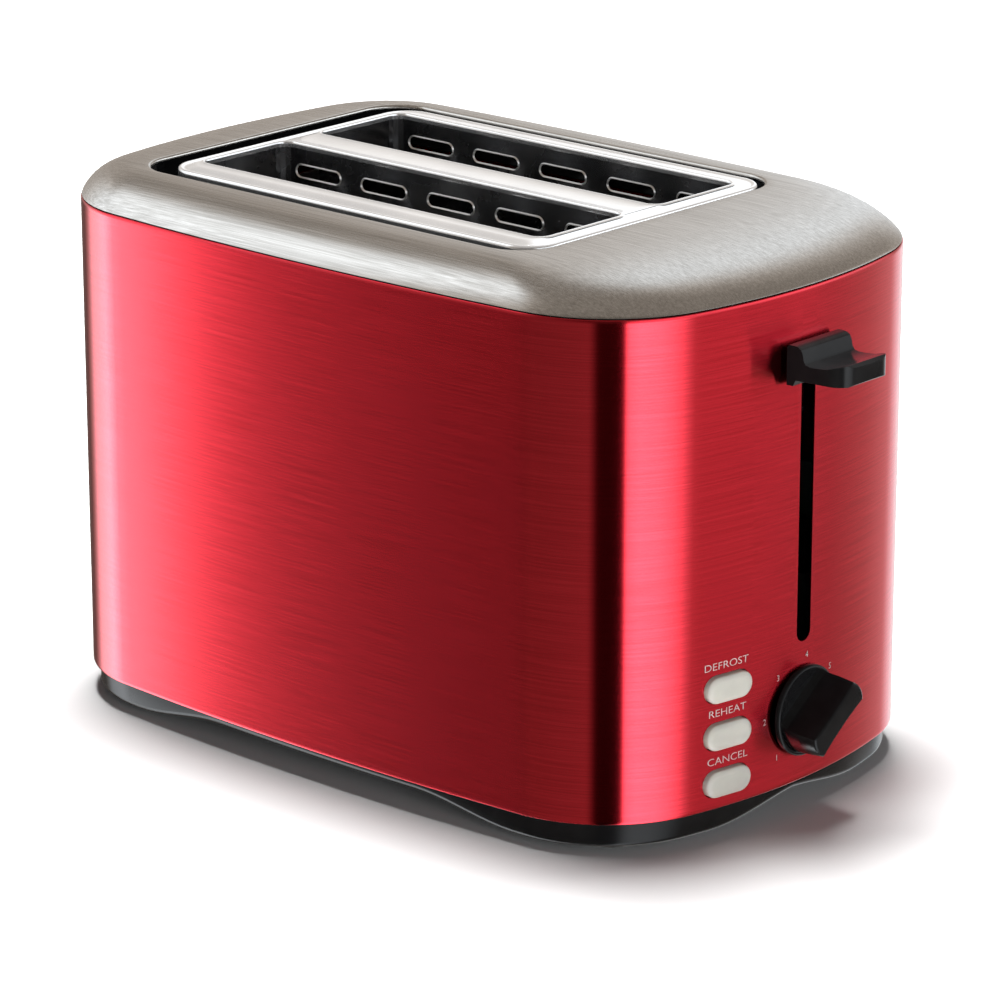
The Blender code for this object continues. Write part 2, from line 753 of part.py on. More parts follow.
def make_crumb_tray(shop):
    """A shallow tray under the elements; its grip follows the curve of the body's -X end."""
    pivot = shop.pivot("crumb_tray_slide", -HALF_LENGTH, 0.0, BASE_FLOOR_TOP)
    bottom = BASE_FLOOR_TOP + GAP
    steps = 8
    outline = [(TRAY_FRONT_X, -TRAY_HALF_WIDTH), (TRAY_FRONT_X, TRAY_HALF_WIDTH)]
    for i in range(steps + 1):
        y = TRAY_HALF_WIDTH * (1 - 2 * i / steps)
        outline.append((TRAY_SET_BACK - end_surface_x(y), y))
    tray = prism(outline, bottom, bottom + TRAY_HEIGHT)
    tray = shop.add("crumb_tray", tray, "galvanised_sheet", pivot)
    hollow = box(
        TRAY_SET_BACK + TRAY_GRIP - end_surface_x(TRAY_HALF_WIDTH), TRAY_FRONT_X - TRAY_WALL,
        TRAY_WALL - TRAY_HALF_WIDTH, TRAY_HALF_WIDTH - TRAY_WALL,
        bottom + TRAY_WALL, bottom + TRAY_HEIGHT + 3.0,
    )
    shop.combine(tray, hollow, "DIFFERENCE", pivot)


def make_cord_gland(shop):
    profile = [
        (GLAND_BORE_RADIUS, -6.0),
        (GLAND_NECK_RADIUS, -6.0),
        (GLAND_NECK_RADIUS, GAP),
        (GLAND_FLANGE_RADIUS, GAP),
        (GLAND_FLANGE_RADIUS - 1.0, GAP + GLAND_FLANGE),
        (GLAND_BORE_RADIUS, GAP + GLAND_FLANGE),
    ]
    gland = moved(turned(profile, 20, bore=True), Matrix.Rotation(-math.pi / 2, 4, "Y"))
    gland = moved(gland, shift(-HALF_LENGTH, 0.0, GLAND_Z))
    shop.add("cord_gland", gland, "black_moulding", smooth=True)
    terminal = box(REAR_PLATE_X - 22.0, REAR_PLATE_X - 8.0, 16.0, 40.0, CHASSIS_BOTTOM, 24.0)
    shop.add("terminal_block", terminal, "white_plastic")


# ---------------------------------------------------------------- chassis


def guard_places():
    """The plan position of each bread guard: its name, its y, and the way in which it leans."""
    for side, label in ((-1, "front"), (1, "back")):
        outer = side * (SLOT_OUTER_Y - GUARD_INSET)
        inner = side * (SLOT_INNER_Y + GUARD_INSET)
        yield f"guard_{label}_outer", outer
        yield f"guard_{label}_inner", inner


def make_end_plates(shop):
    """Two upright sheets that carry the boards and guards, slit where the racks run."""
    rack_low = RACK_Z - TRAVEL - 3.0
    rack_high = RACK_Z + RACK_THICKNESS + 3.0
    slit = RACK_SPINE / 2 + 1.0
    for x, name in ((FRONT_PLATE_X, "end_plate_front"), (REAR_PLATE_X, "end_plate_rear")):
        x1 = x + math.copysign(END_PLATE_WALL, x)
        low, high = sorted((x, x1))
        sheet = box(
            low, high, -END_PLATE_HALF_WIDTH, END_PLATE_HALF_WIDTH, CHASSIS_BOTTOM, END_PLATE_TOP
        )
        plate = shop.add(name, sheet, "galvanised_sheet")
        slits = [
            box(low - 3.0, high + 3.0, side * SLOT_MID_Y - slit, side * SLOT_MID_Y + slit,
                rack_low, rack_high)
            for side in (-1, 1)
        ]
        shop.combine(plate, joined(slits), "DIFFERENCE")
        pins = [
            moved(along_x(cylinder(GUARD_WIRE + 0.5, -4.0, 4.0, 8)), shift(x, y, GUARD_PIVOT_Z))
            for _, y in guard_places()
        ]
        shop.combine(plate, joined(pins), "DIFFERENCE")

    for side, label in ((-1, "front"), (1, "back")):
        y0 = side * REFLECTOR_Y
        y1 = y0 + side * REFLECTOR_WALL
        foot = y0 + side * REFLECTOR_FOOT
        foot_top = CHASSIS_BOTTOM + REFLECTOR_WALL
        outline = [
            (y0, CHASSIS_BOTTOM), (foot, CHASSIS_BOTTOM), (foot, foot_top),
            (y1, foot_top), (y1, LINER_BOTTOM - 2.0), (y0, LINER_BOTTOM - 2.0),
        ]
        reach = (REAR_PLATE_X + GAP, FRONT_PLATE_X - GAP)
        sheet = skin_rings([[(x, y, z) for y, z in outline] for x in reach])
        sheet = shop.add(f"reflector_{label}", sheet, "galvanised_sheet")
        holes = [
            moved(
                cylinder(SCREW_SHANK_RADIUS + 0.3, CHASSIS_BOTTOM - 3.0, CHASSIS_BOTTOM + 3.0, 8),
                shift(x, side * SCREW_Y, 0.0),
            )
            for x in (-SCREW_X, SCREW_X)
        ]
        shop.combine(sheet, joined(holes), "DIFFERENCE")


def make_elements(shop):
    """Mica boards with a flat zigzag of heating wire on each face that looks at a slot."""
    x0, x1 = REAR_PLATE_X + 0.6, FRONT_PLATE_X - 0.6
    boards = (
        ("front", -OUTER_BOARD_Y, (1,)),
        ("centre", 0.0, (-1, 1)),
        ("back", OUTER_BOARD_Y, (-1,)),
    )
    for label, y, faces in boards:
        half = BOARD_WALL / 2
        board = box(x0, x1, y - half, y + half, BOARD_BOTTOM, BOARD_TOP)
        shop.add(f"mica_board_{label}", board, "mica")
        for face in faces:
            wire_y = y + face * (half + WINDING_WIRE + GAP)
            suffix = label
            if label == "centre":
                suffix = "centre_front" if face < 0 else "centre_back"
            points = []
            step = (BOARD_TOP - BOARD_BOTTOM - 16.0) / (WINDING_RUNS - 1)
            for run in range(WINDING_RUNS):
                z = BOARD_BOTTOM + 8.0 + step * run
                ends = (x0 + 10.0, x1 - 10.0) if run % 2 == 0 else (x1 - 10.0, x0 + 10.0)
                points += [(x, wire_y, z) for x in ends]
            shop.wire(f"heating_wire_{suffix}", points, WINDING_WIRE, "heating_wire")


def make_guards(shop):
    """Each guard is one bent wire: hairpins up the slot, joined along the bottom, which is its pivot."""
    pitch = SLOT_LENGTH / GUARD_LOOPS
    half = GUARD_LOOP_WIDTH / 2
    for name, y in guard_places():
        points = [(REAR_PLATE_X - 2.0, y, GUARD_PIVOT_Z)]
        for i in range(GUARD_LOOPS):
            middle = SLOT_X0 + pitch * (i + 0.5)
            points += [
                (middle - half, y, GUARD_PIVOT_Z),
                (middle - half, y, GUARD_TOP - half - GUARD_WIRE),
                (middle - half * 0.7, y, GUARD_TOP - half * 0.3 - GUARD_WIRE),
                (middle, y, GUARD_TOP - GUARD_WIRE),
                (middle + half * 0.7, y, GUARD_TOP - half * 0.3 - GUARD_WIRE),
                (middle + half, y, GUARD_TOP - half - GUARD_WIRE),
                (middle + half, y, GUARD_PIVOT_Z),
            ]
        points.append((FRONT_PLATE_X + 2.0, y, GUARD_PIVOT_Z))
        pivot = shop.pivot(f"{name}_pivot", 0.0, y, GUARD_PIVOT_Z)
        shop.wire(name, points, GUARD_WIRE, "polished_steel", pivot)


# ---------------------------------------------------------------- lift


def make_carriage(shop):
    """What the lever lifts: racks, cross bar, sleeve on the rod, arm, keeper and lever."""
    pivot = shop.pivot("carriage_slide", ROD_X, 0.0, RACK_Z)
    bar_x0 = FRONT_PLATE_X + END_PLATE_WALL + 3.0
    bar_x1 = bar_x0 + 1.5
    rack_end = bar_x0 - GAP
    for side, label in ((-1, "front"), (1, "back")):
        mid = side * SLOT_MID_Y
        outline = rack_outline(mid, REAR_PLATE_X - 4.0, rack_end)
        rack = prism(outline, RACK_Z, RACK_Z + RACK_THICKNESS)
        shop.add(f"bread_rack_{label}", rack, "polished_steel", pivot)

    bar_half = SLOT_MID_Y + 5.0
    bar = box(bar_x0, bar_x1, -bar_half, bar_half, RACK_Z - 3.0, RACK_Z + 9.0)
    bracket = shop.add("carriage_bracket", bar, "galvanised_sheet", pivot)
    arm_tip = LEVER_BACK_X + 6.0
    arm_low, arm_high = ARM_Z - ARM_HEIGHT / 2, ARM_Z + ARM_HEIGHT / 2
    web_profile = [
        (bar_x0 + 0.5, SLEEVE_BOTTOM), (ROD_X + 2.0, SLEEVE_BOTTOM), (ROD_X + 12.0, arm_low),
        (arm_tip, arm_low), (arm_tip, arm_high), (ROD_X - 2.0, arm_high), (bar_x0 + 0.5, RACK_Z + 9.0),
    ]
    half = ARM_WIDTH / 2
    shop.combine(bracket, side_profile(web_profile, -half, half), "UNION", pivot)
    sleeve = moved(cylinder(SLEEVE_RADIUS, SLEEVE_BOTTOM, arm_high + 2.0), shift(ROD_X, 0.0, 0.0))
    shop.combine(bracket, sleeve, "UNION", pivot)
    wing = box(bar_x0 + 0.5, ROD_X + 8.0, 10.0, 30.0, RACK_Z + 7.0, RACK_Z + 8.5)
    shop.combine(bracket, wing, "UNION", pivot)
    bore = moved(
        cylinder(ROD_RADIUS + RUNNING_GAP, SLEEVE_BOTTOM - 3.0, arm_high + 5.0),
        shift(ROD_X, 0.0, 0.0),
    )
    shop.combine(bracket, bore, "DIFFERENCE", pivot)

    keeper_top = RACK_Z + 7.0 - GAP
    keeper = box(ROD_X - 7.0, ROD_X + 7.0, 14.0, 28.0, keeper_top - 2.0, keeper_top)
    shop.add("magnet_keeper", keeper, "galvanised_sheet", pivot)
    make_lever(shop, pivot, arm_tip, arm_low, arm_high)
    make_magnet(shop, keeper_top - 2.0 - TRAVEL)


def rack_outline(mid, x0, x1):
    """A rack in plan: a spine through both end plates, with cross fingers under the bread."""
    half_spine = RACK_SPINE / 2
    half_width = RACK_WIDTH / 2
    half_finger = RACK_FINGER / 2
    pitch = (SLOT_LENGTH - 12.0) / (RACK_FINGERS - 1)
    stations = [SLOT_X0 + 6.0 + pitch * i for i in range(RACK_FINGERS)]
    lower = [(x0, mid - half_spine)]
    for x in stations:
        lower += [
            (x - half_finger, mid - half_spine), (x - half_finger, mid - half_width),
            (x + half_finger, mid - half_width), (x + half_finger, mid - half_spine),
        ]
    lower.append((x1, mid - half_spine))
    upper = [(x, 2 * mid - y) for x, y in reversed(lower)]
    return lower + upper


def make_lever(shop, pivot, arm_tip, arm_low, arm_high):
    """The moulded lever: a back plate, a rounded ridge, and a paddle that dips and rises to its lip."""
    x, z = LEVER_BACK_X, LEVER_BOTTOM
    tip = LEVER_REACH
    profile = [
        (x, z), (x + 2.4, z), (x + 3.4, z + 1.9), (x + tip - 0.8, z + 3.1),
        (x + tip, z + 3.9), (x + tip, z + 8.2), (x + tip - 1.6, z + 8.8), (x + 15.0, z + 7.0),
        (x + 8.2, z + 6.3), (x + 6.4, z + 7.6), (x + 5.6, z + 10.9), (x + 4.2, z + LEVER_HEIGHT),
        (x, z + LEVER_HEIGHT),
    ]
    body = side_profile(profile, -LEVER_HALF_WIDTH, LEVER_HALF_WIDTH)
    lever = shop.add("lever_knob", body, "black_moulding", pivot)
    pocket = box(
        x - 4.0, arm_tip + GAP, -ARM_WIDTH / 2 - GAP, ARM_WIDTH / 2 + GAP,
        arm_low - GAP, arm_high + GAP,
    )
    shop.combine(lever, pocket, "DIFFERENCE", pivot)


def make_magnet(shop, pole_top):
    """The electromagnet that holds the carriage down, under the keeper."""
    pole_top -= 0.5
    core_profile = [
        (0.0, CHASSIS_BOTTOM), (8.0, CHASSIS_BOTTOM), (8.0, CHASSIS_BOTTOM + 2.0),
        (3.5, CHASSIS_BOTTOM + 2.0), (3.5, pole_top), (0.0, pole_top),
    ]
    magnet_x, magnet_y = ROD_X + 1.0, 21.0
    core = moved(turned(core_profile, 12), shift(magnet_x, magnet_y, 0.0))
    shop.add("magnet_core", core, "galvanised_sheet", smooth=True)
    low, high = CHASSIS_BOTTOM + 2.0 + GAP, pole_top - 2.0
    coil_profile = [
        (3.8, low), (8.5, low), (8.5, low + 1.5), (7.5, low + 1.5),
        (7.5, high - 1.5), (8.5, high - 1.5), (8.5, high), (3.8, high),
    ]
    coil = moved(turned(coil_profile, 12, bore=True), shift(magnet_x, magnet_y, 0.0))
    shop.add("magnet_coil", coil, "copper", smooth=True)


def make_guide(shop):
    """The rod that the sleeve runs on, the bracket over it, and the lift spring around it."""
    bracket_bottom = END_PLATE_TOP - 2.0
    rod = cylinder(ROD_RADIUS, BASE_FLOOR_TOP + GAP, bracket_bottom - GAP, 12)
    shop.add("guide_rod", moved(rod, shift(ROD_X, 0.0, 0.0)), "polished_steel", smooth=True)
    x0 = FRONT_PLATE_X + END_PLATE_WALL + GAP
    profile = [
        (x0, bracket_bottom - 10.0), (x0 + 1.2, bracket_bottom - 10.0),
        (x0 + 1.2, bracket_bottom), (ROD_X + 8.0, bracket_bottom),
        (ROD_X + 8.0, bracket_bottom + 1.2), (x0, bracket_bottom + 1.2),
    ]
    shop.add("rod_bracket", side_profile(profile, -9.0, 9.0), "galvanised_sheet")

    low = BASE_FLOOR_TOP + GAP + SPRING_WIRE
    high = SLEEVE_BOTTOM - GAP - SPRING_WIRE
    radius = ROD_RADIUS + 1.9
    steps = 10
    points = []
    for i in range(SPRING_TURNS * steps + 1):
        angle = 2 * math.pi * i / steps
        z = low + (high - low) * i / (SPRING_TURNS * steps)
        points.append((ROD_X + radius * math.cos(angle), radius * math.sin(angle), z))
    shop.wire("lift_spring", points, SPRING_WIRE / 2, "polished_steel")


# ---------------------------------------------------------------- controls


def make_dial(shop):
    pivot = shop.pivot("dial_pivot", HALF_LENGTH, 0.0, DIAL_Z)
    back = 0.6
    profile = [
        (0.0, back), (DIAL_RADIUS, back), (DIAL_RADIUS, back + 1.2),
        (DIAL_RADIUS - 1.2, back + 2.0), (DIAL_RADIUS - 1.8, back + 4.0), (0.0, back + 4.0),
    ]
    knob = shop.add(
        "browning_knob", along_x(turned(profile, 28)), "black_moulding", pivot, smooth=True, local=True
    )
    grip = dial_grip(back + 2.0, DIAL_DEPTH)
    shop.combine(knob, grip, "UNION", pivot, local=True)
    bore = along_x(cylinder(SHAFT_RADIUS + 0.2, -3.0, back + 8.0, 12))
    shop.combine(knob, bore, "DIFFERENCE", pivot, local=True)

    bracket_x = HALF_LENGTH - 15.0
    shaft = along_x(cylinder(SHAFT_RADIUS, bracket_x - GAP - HALF_LENGTH, back + 7.0, 12))
    shop.add("dial_shaft", shaft, "galvanised_sheet", pivot, smooth=True, local=True)
    sheet = box(
        bracket_x, bracket_x + 1.2, -16.0, 16.0, CHASSIS_BOTTOM, DIAL_Z + 12.0
    )
    bracket = shop.add("dial_bracket", sheet, "galvanised_sheet")
    hole = moved(along_x(cylinder(SHAFT_RADIUS + 0.5, -4.0, 4.0, 12)), shift(bracket_x, 0.0, DIAL_Z))
    shop.combine(bracket, hole, "DIFFERENCE")
    body_x1 = bracket_x - 2 * GAP
    pot = moved(along_x(cylinder(8.0, 0.0, 6.5, 16)), shift(body_x1 - 6.5, 0.0, DIAL_Z))
    shop.add("potentiometer", pot, "black_moulding", smooth=True)


def dial_grip(x0, x1):
    """The raised bar across the dial: wide at its foot, narrow on top, with rounded ends."""
    foot, top = 5.2, 3.4
    length = DIAL_RADIUS - 2.0
    rings = []
    for x, half, reach in ((x0, foot, length), (x1 - 1.2, top, length), (x1, top - 0.9, length - 1.0)):
        outline = rounded_outline(-reach, reach, -half, half, half - 0.4, 4)
        rings.append([(x, u, v) for u, v in outline])
    grip = skin_rings(rings)
    return moved(grip, Matrix.Rotation(math.radians(DIAL_POINTER_DEG), 4, "X"))


def button_pill(outset, x0, x1, edge=0.0):
    """A pill in the YZ plane, about the button's own centre, with its front edge rounded by edge."""
    stations = [(x0, outset), (x1 - edge, outset)]
    if edge:
        for turn in (0.35, 0.7, 1.0):
            angle = turn * math.pi / 2
            stations.append(
                (x1 - edge * (1 - math.sin(angle)), outset - edge * (1 - math.cos(angle)))
            )
    rings = []
    for x, grow in stations:
        half_length = BUTTON_LENGTH / 2 + grow
        half_height = BUTTON_HEIGHT / 2 + grow
        outline = rounded_outline(
            -half_length, half_length, -half_height, half_height, half_height - 0.01, 6
        )
        rings.append([(x, y, z) for y, z in outline])
    return skin_rings(rings)


def button_lean():
    return math.asin(BUTTON_Y / END_RADIUS)


def button_place(index):
    """Where a button's own frame stands: on the end's surface, turned to face square out of it."""
    z = BUTTON_LOWEST_Z + BUTTON_PITCH * index
    x = end_surface_x(BUTTON_Y)
    return shift(x, BUTTON_Y, z) @ Matrix.Rotation(button_lean(), 4, "Z")


def make_buttons(shop):
    stem_back = -6.2
    board_front = stem_back - BUTTON_TRAVEL - 4.2
    for index, label in enumerate(BUTTON_NAMES):
        z = BUTTON_LOWEST_Z + BUTTON_PITCH * index
        pivot = shop.pivot(
            f"{label}_button_slide", end_surface_x(BUTTON_Y), BUTTON_Y, z, button_lean()
        )
        pill = button_pill(0.0, -3.5, BUTTON_PROUD, BUTTON_EDGE)
        button = shop.add(
            f"{label}_button", pill, "cream_plastic", pivot, smooth=True, local=True
        )
        stem = along_x(cylinder(2.2, stem_back, -2.0, 10))
        shop.combine(button, stem, "UNION", pivot, local=True)
        switch = box(board_front + GAP, stem_back - BUTTON_TRAVEL - GAP, -3.0, 3.0, -3.0, 3.0)
        switch_pivot = shop.pivot(
            f"{label}_switch_seat", end_surface_x(BUTTON_Y), BUTTON_Y, z, button_lean()
        )
        shop.add(f"{label}_switch", switch, "black_moulding", switch_pivot, local=True)
    seat = shop.pivot(
        "button_board_seat", end_surface_x(BUTTON_Y), BUTTON_Y, 0.0, button_lean()
    )
    top = BUTTON_LOWEST_Z + BUTTON_PITCH * (len(BUTTON_NAMES) - 1) + 10.0
    board = box(board_front - 1.6, board_front, -11.0, 11.0, CHASSIS_BOTTOM, top)
    shop.add("button_board", board, "circuit_board", seat, local=True)


def make_control_board(shop):
    board_y = 40.0
    x0 = FRONT_PLATE_X + END_PLATE_WALL + 5.0
    x1 = x0 + 30.0
    board = box(x0, x1, board_y, board_y + 1.6, CHASSIS_BOTTOM, 96.0)
    shop.add("control_board", board, "circuit_board")
    block = box(x0 + 4.0, x0 + 18.0, board_y - 7.0, board_y - GAP, 62.0, 78.0)
    shop.add("mains_switch", block, "white_plastic")
    # The capacitor lies low, below the lowest place of the carriage and beside the magnet.
    capacitor = moved(cylinder(5.0, 0.0, 9.0, 12), Matrix.Rotation(math.pi / 2, 4, "X"))
    capacitor = moved(capacitor, shift(x0 + 20.0, board_y - GAP, CHASSIS_BOTTOM + 9.0))
    shop.add("capacitor", capacitor, "black_moulding", smooth=True)


def make_toaster():
    for obj in list(bpy.data.objects):
        bpy.data.objects.remove(obj, do_unlink=True)
    shop = Workshop()
    make_outer_body(shop)
    make_slot_plate(shop)
    make_surround(shop)
    make_liners(shop)
    make_base(shop)
    make_screws(shop)
    make_crumb_tray(shop)
    make_cord_gland(shop)
    make_end_plates(shop)
    make_elements(shop)
    make_guards(shop)
    make_carriage(shop)
    make_guide(shop)
    make_dial(shop)
    make_buttons(shop)
    make_control_board(shop)


make_toaster()
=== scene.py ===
import json
import math

import bmesh
import bpy
from mathutils import Matrix, Vector


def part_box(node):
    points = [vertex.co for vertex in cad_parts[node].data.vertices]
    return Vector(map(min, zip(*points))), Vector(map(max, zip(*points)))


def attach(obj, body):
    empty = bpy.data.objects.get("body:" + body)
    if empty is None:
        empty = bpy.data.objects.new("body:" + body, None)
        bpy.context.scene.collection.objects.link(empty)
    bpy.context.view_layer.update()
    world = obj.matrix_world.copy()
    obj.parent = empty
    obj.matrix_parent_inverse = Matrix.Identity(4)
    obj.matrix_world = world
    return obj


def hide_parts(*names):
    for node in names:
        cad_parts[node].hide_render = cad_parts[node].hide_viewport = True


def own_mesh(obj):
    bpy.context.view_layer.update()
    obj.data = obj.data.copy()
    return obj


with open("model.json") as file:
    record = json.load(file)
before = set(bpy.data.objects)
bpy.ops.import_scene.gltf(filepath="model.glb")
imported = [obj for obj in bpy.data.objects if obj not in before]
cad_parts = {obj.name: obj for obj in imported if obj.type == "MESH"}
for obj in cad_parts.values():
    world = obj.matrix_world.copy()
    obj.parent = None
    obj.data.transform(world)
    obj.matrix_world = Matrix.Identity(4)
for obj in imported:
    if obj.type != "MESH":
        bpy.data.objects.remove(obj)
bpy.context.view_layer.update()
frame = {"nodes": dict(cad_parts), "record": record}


# ---------------------------------------------------------------- studio
# A pale floor that runs out of sight, a white tent of light with darker gaps between its panels, a
# wide lamp overhead for the soft shadow round the foot, and a weak lamp that fills the near end.
CAMERA_PLACE = (0.94905, -1.0579, 0.5285)
CAMERA_TURN = (90.0 - 17.74, 0.0, 41.99)
CAMERA_LENS = 169.07
FLOOR_REACH = 9.0
FLOOR_GLOW_START = 0.3
FLOOR_GLOW_FULL = 1.1
FLOOR_GLOW = 0.95
LAMPS = (
    # Name, place, side and power: a wide lamp overhead, and a weak fill for the near end.
    ("wide_lamp", (-0.16, 0.1, 1.4), 0.5, 48.0),
    ("fill_lamp", (1.5, -0.6, 0.3), 0.6, 6.0),
)
TENT_BRIGHTEST = 14.0
# Each panel edge: degrees round from the lever's end, then brightness. The lowest ring shows in the
# upright sides, the middle one in the flat top, and the highest in the cover's slopes.
TENT_LOW = (
    (-180, 2.2), (-170, 3.8), (-157, 7.4), (-148, 6.0), (-143, 2.4), (-141, 0.7), (-139, 0.24),
    (-136, 0.17), (-131, 0.15), (-126, 0.12), (-122, 0.14), (-111, 0.27), (-75, 0.38), (-64, 0.42),
    (-60, 0.16), (-57, 0.0), (-36, 0.0), (-33.5, 4.6), (-24, 5.8), (-8, 5.0), (4, 3.5), (17, 1.3),
    (24, 0.42), (44, 0.34), (59, 0.24), (72, 0.45), (92, 1.3), (110, 1.4), (135, 0.2), (163, 0.1),
    (172, 0.6), (180, 2.2),
)
TENT_MIDDLE = (
    (-180, 1.0), (-160, 1.5), (-140, 1.5), (-130, 0.8), (-118, 0.4), (-105, 0.25), (-70, 0.12),
    (-40, 0.12), (-20, 1.6), (20, 1.8), (50, 2.3), (66, 1.6), (84, 0.5), (104, 0.6), (118, 1.3),
    (127, 1.1), (135, 0.6), (142, 0.45), (160, 0.5), (180, 1.0),
)
TENT_HIGH = (
    (-180, 0.4), (-165, 1.3), (-150, 2.0), (-138, 1.7), (-128, 0.7), (-115, 0.35), (-50, 0.15),
    (0, 0.2), (60, 0.3), (95, 0.3), (106, 0.5), (117, 1.3), (126, 1.2), (136, 0.45), (150, 0.3),
    (180, 0.4),
)
TENT_ZENITH = 0.3
# The heights, in degrees, between which each ring gives way to the one above it.
LOW_TO_MIDDLE = (-13, -5)
MIDDLE_TO_HIGH = (22, 34)
HIGH_TO_ZENITH = (46, 60)
BACKDROP_GREY = 0.95
# Matt surfaces get only this share of the tent, so that the shadow under the body stays deep.
TENT_FILL = 0.04
# Dim parts of the tent are warm and bright ones a little cool.
TENT_TINT = ((0.03, (1.0, 0.87, 0.76)), (0.09, (0.96, 1.0, 1.04)))


def add_node(tree, kind, inputs=None, **settings):
    """A node with its settings made; an input is a value, or the output it is linked from."""
    node = tree.nodes.new(kind)
    for name, value in settings.items():
        setattr(node, name, value)
    for name, value in (inputs or {}).items():
        if isinstance(value, bpy.types.NodeSocket):
            tree.links.new(value, node.inputs[name])
        else:
            node.inputs[name].default_value = value
    return node


def add_ramp(tree, factor, stops):
    """A colour ramp over factor; each stop is a position and a grey level or a colour."""
    ramp = add_node(tree, "ShaderNodeValToRGB", {"Fac": factor})
    elements = ramp.color_ramp.elements
    while len(elements) < len(stops):
        elements.new(0.5)
    for element, (position, colour) in zip(elements, stops):
        element.position = position
        grey = isinstance(colour, (int, float))
        element.color = (colour, colour, colour, 1.0) if grey else (*colour, 1.0)
    return ramp.outputs["Color"]


def tent_stops(panels):
    return [((degrees + 180) / 360, level / TENT_BRIGHTEST) for degrees, level in panels]


world = bpy.data.worlds.new("light_tent")
bpy.context.scene.world = world
world.use_nodes = True
tent = world.node_tree
tent.nodes.clear()
direction = add_node(tent, "ShaderNodeTexCoord").outputs["Generated"]
parts = add_node(tent, "ShaderNodeSeparateXYZ", {"Vector": direction}).outputs
round_angle = add_node(tent, "ShaderNodeMath", {0: parts["Y"], 1: parts["X"]}, operation="ARCTAN2")
round_share = add_node(
    tent, "ShaderNodeMapRange",
    {"Value": round_angle.outputs[0], "From Min": -math.pi, "From Max": math.pi},
).outputs["Result"]
low_level = add_ramp(tent, round_share, tent_stops(TENT_LOW))
middle_level = add_ramp(tent, round_share, tent_stops(TENT_MIDDLE))
high_level = add_ramp(tent, round_share, tent_stops(TENT_HIGH))


def blend_by_height(below, above, heights):
    """Goes smoothly from one ring of panels to the one above it between two heights."""
    share = add_node(
        tent, "ShaderNodeMapRange",
        {
            "Value": parts["Z"],
            "From Min": math.sin(math.radians(heights[0])),
            "From Max": math.sin(math.radians(heights[1])),
        },
        interpolation_type="SMOOTHSTEP",
    )
    mix = add_node(
        tent, "ShaderNodeMix", {0: share.outputs["Result"], 6: below, 7: above}, data_type="RGBA"
    )
    return mix.outputs[2]


lower_level = blend_by_height(low_level, middle_level, LOW_TO_MIDDLE)
upper_level = blend_by_height(lower_level, high_level, MIDDLE_TO_HIGH)
zenith_level = add_node(tent, "ShaderNodeValue")
zenith_level.outputs[0].default_value = TENT_ZENITH / TENT_BRIGHTEST
tent_level = blend_by_height(upper_level, zenith_level.outputs[0], HIGH_TO_ZENITH)
tent_colour = add_node(
    tent, "ShaderNodeMix", {0: 1.0, 6: tent_level, 7: add_ramp(tent, tent_level, TENT_TINT)},
    data_type="RGBA", blend_type="MULTIPLY",
)
seen_from = add_node(tent, "ShaderNodeLightPath").outputs
tent_strength = add_node(
    tent, "ShaderNodeMapRange",
    {
        "Value": seen_from["Is Diffuse Ray"], "To Min": TENT_BRIGHTEST,
        "To Max": TENT_BRIGHTEST * TENT_FILL,
    },
)
tent_light = add_node(
    tent, "ShaderNodeBackground",
    {"Color": tent_colour.outputs[2], "Strength": tent_strength.outputs["Result"]},
)
backdrop = add_node(
    tent, "ShaderNodeBackground", {"Color": (BACKDROP_GREY, BACKDROP_GREY, BACKDROP_GREY, 1.0)}
)
tent_or_backdrop = add_node(
    tent, "ShaderNodeMixShader",
    {0: seen_from["Is Camera Ray"], 1: tent_light.outputs[0], 2: backdrop.outputs[0]},
)
add_node(tent, "ShaderNodeOutputWorld", {"Surface": tent_or_backdrop.outputs[0]})

bpy.context.scene.view_settings.view_transform = "Standard"

camera_data = bpy.data.cameras.new("studio_camera")
camera_data.lens = CAMERA_LENS
camera_data.sensor_width = 36.0
camera_data.clip_end = 50.0
camera = bpy.data.objects.new("studio_camera", camera_data)
camera.location = CAMERA_PLACE
camera.rotation_euler = [math.radians(turn) for turn in CAMERA_TURN]
bpy.context.scene.collection.objects.link(camera)
bpy.context.scene.camera = camera

for name, place, side, power in LAMPS:
    lamp_data = bpy.data.lights.new(name, "AREA")
    lamp_data.size = side
    lamp_data.energy = power
    lamp = bpy.data.objects.new(name, lamp_data)
    lamp.location = place
    lamp.rotation_euler = (-Vector(place)).to_track_quat("-Z", "Y").to_euler()
    lamp.visible_glossy = False
    bpy.context.scene.collection.objects.link(lamp)


def new_finish(name, **sockets):
    """A new material: returns it, its nodes and its shader, whose sockets are set by name."""
    material = bpy.data.materials.new(name)
    material.use_nodes = True
    tree = material.node_tree
    shader = tree.nodes["Principled BSDF"]
    for socket, value in sockets.items():
        shader.inputs[socket.replace("_", " ")].default_value = value
    return material, tree, shader


def grain(tree, scale, stretch=(1.0, 1.0, 1.0), detail=3.0, source="Object"):
    """A noise over the piece's own place, stretched along an axis by a small number there."""
    place = add_node(tree, "ShaderNodeTexCoord").outputs[source]
    mapping = add_node(tree, "ShaderNodeMapping", {"Vector": place, "Scale": stretch})
    noise = add_node(
        tree, "ShaderNodeTexNoise",
        {"Vector": mapping.outputs["Vector"], "Scale": scale, "Detail": detail, "Roughness": 0.6},
    )
    return noise.outputs["Fac"]


def bump(tree, shader, height, strength, depth):
    """Presses a height pattern into the surface; depth is in metres."""
    node = add_node(
        tree, "ShaderNodeBump", {"Height": height, "Strength": strength, "Distance": depth}
    )
    tree.links.new(node.outputs["Normal"], shader.inputs["Normal"])


def colour_by(tree, shader, pattern, stops):
    """Colours the surface by a ramp over the pattern."""
    tree.links.new(add_ramp(tree, pattern, stops), shader.inputs["Base Color"])


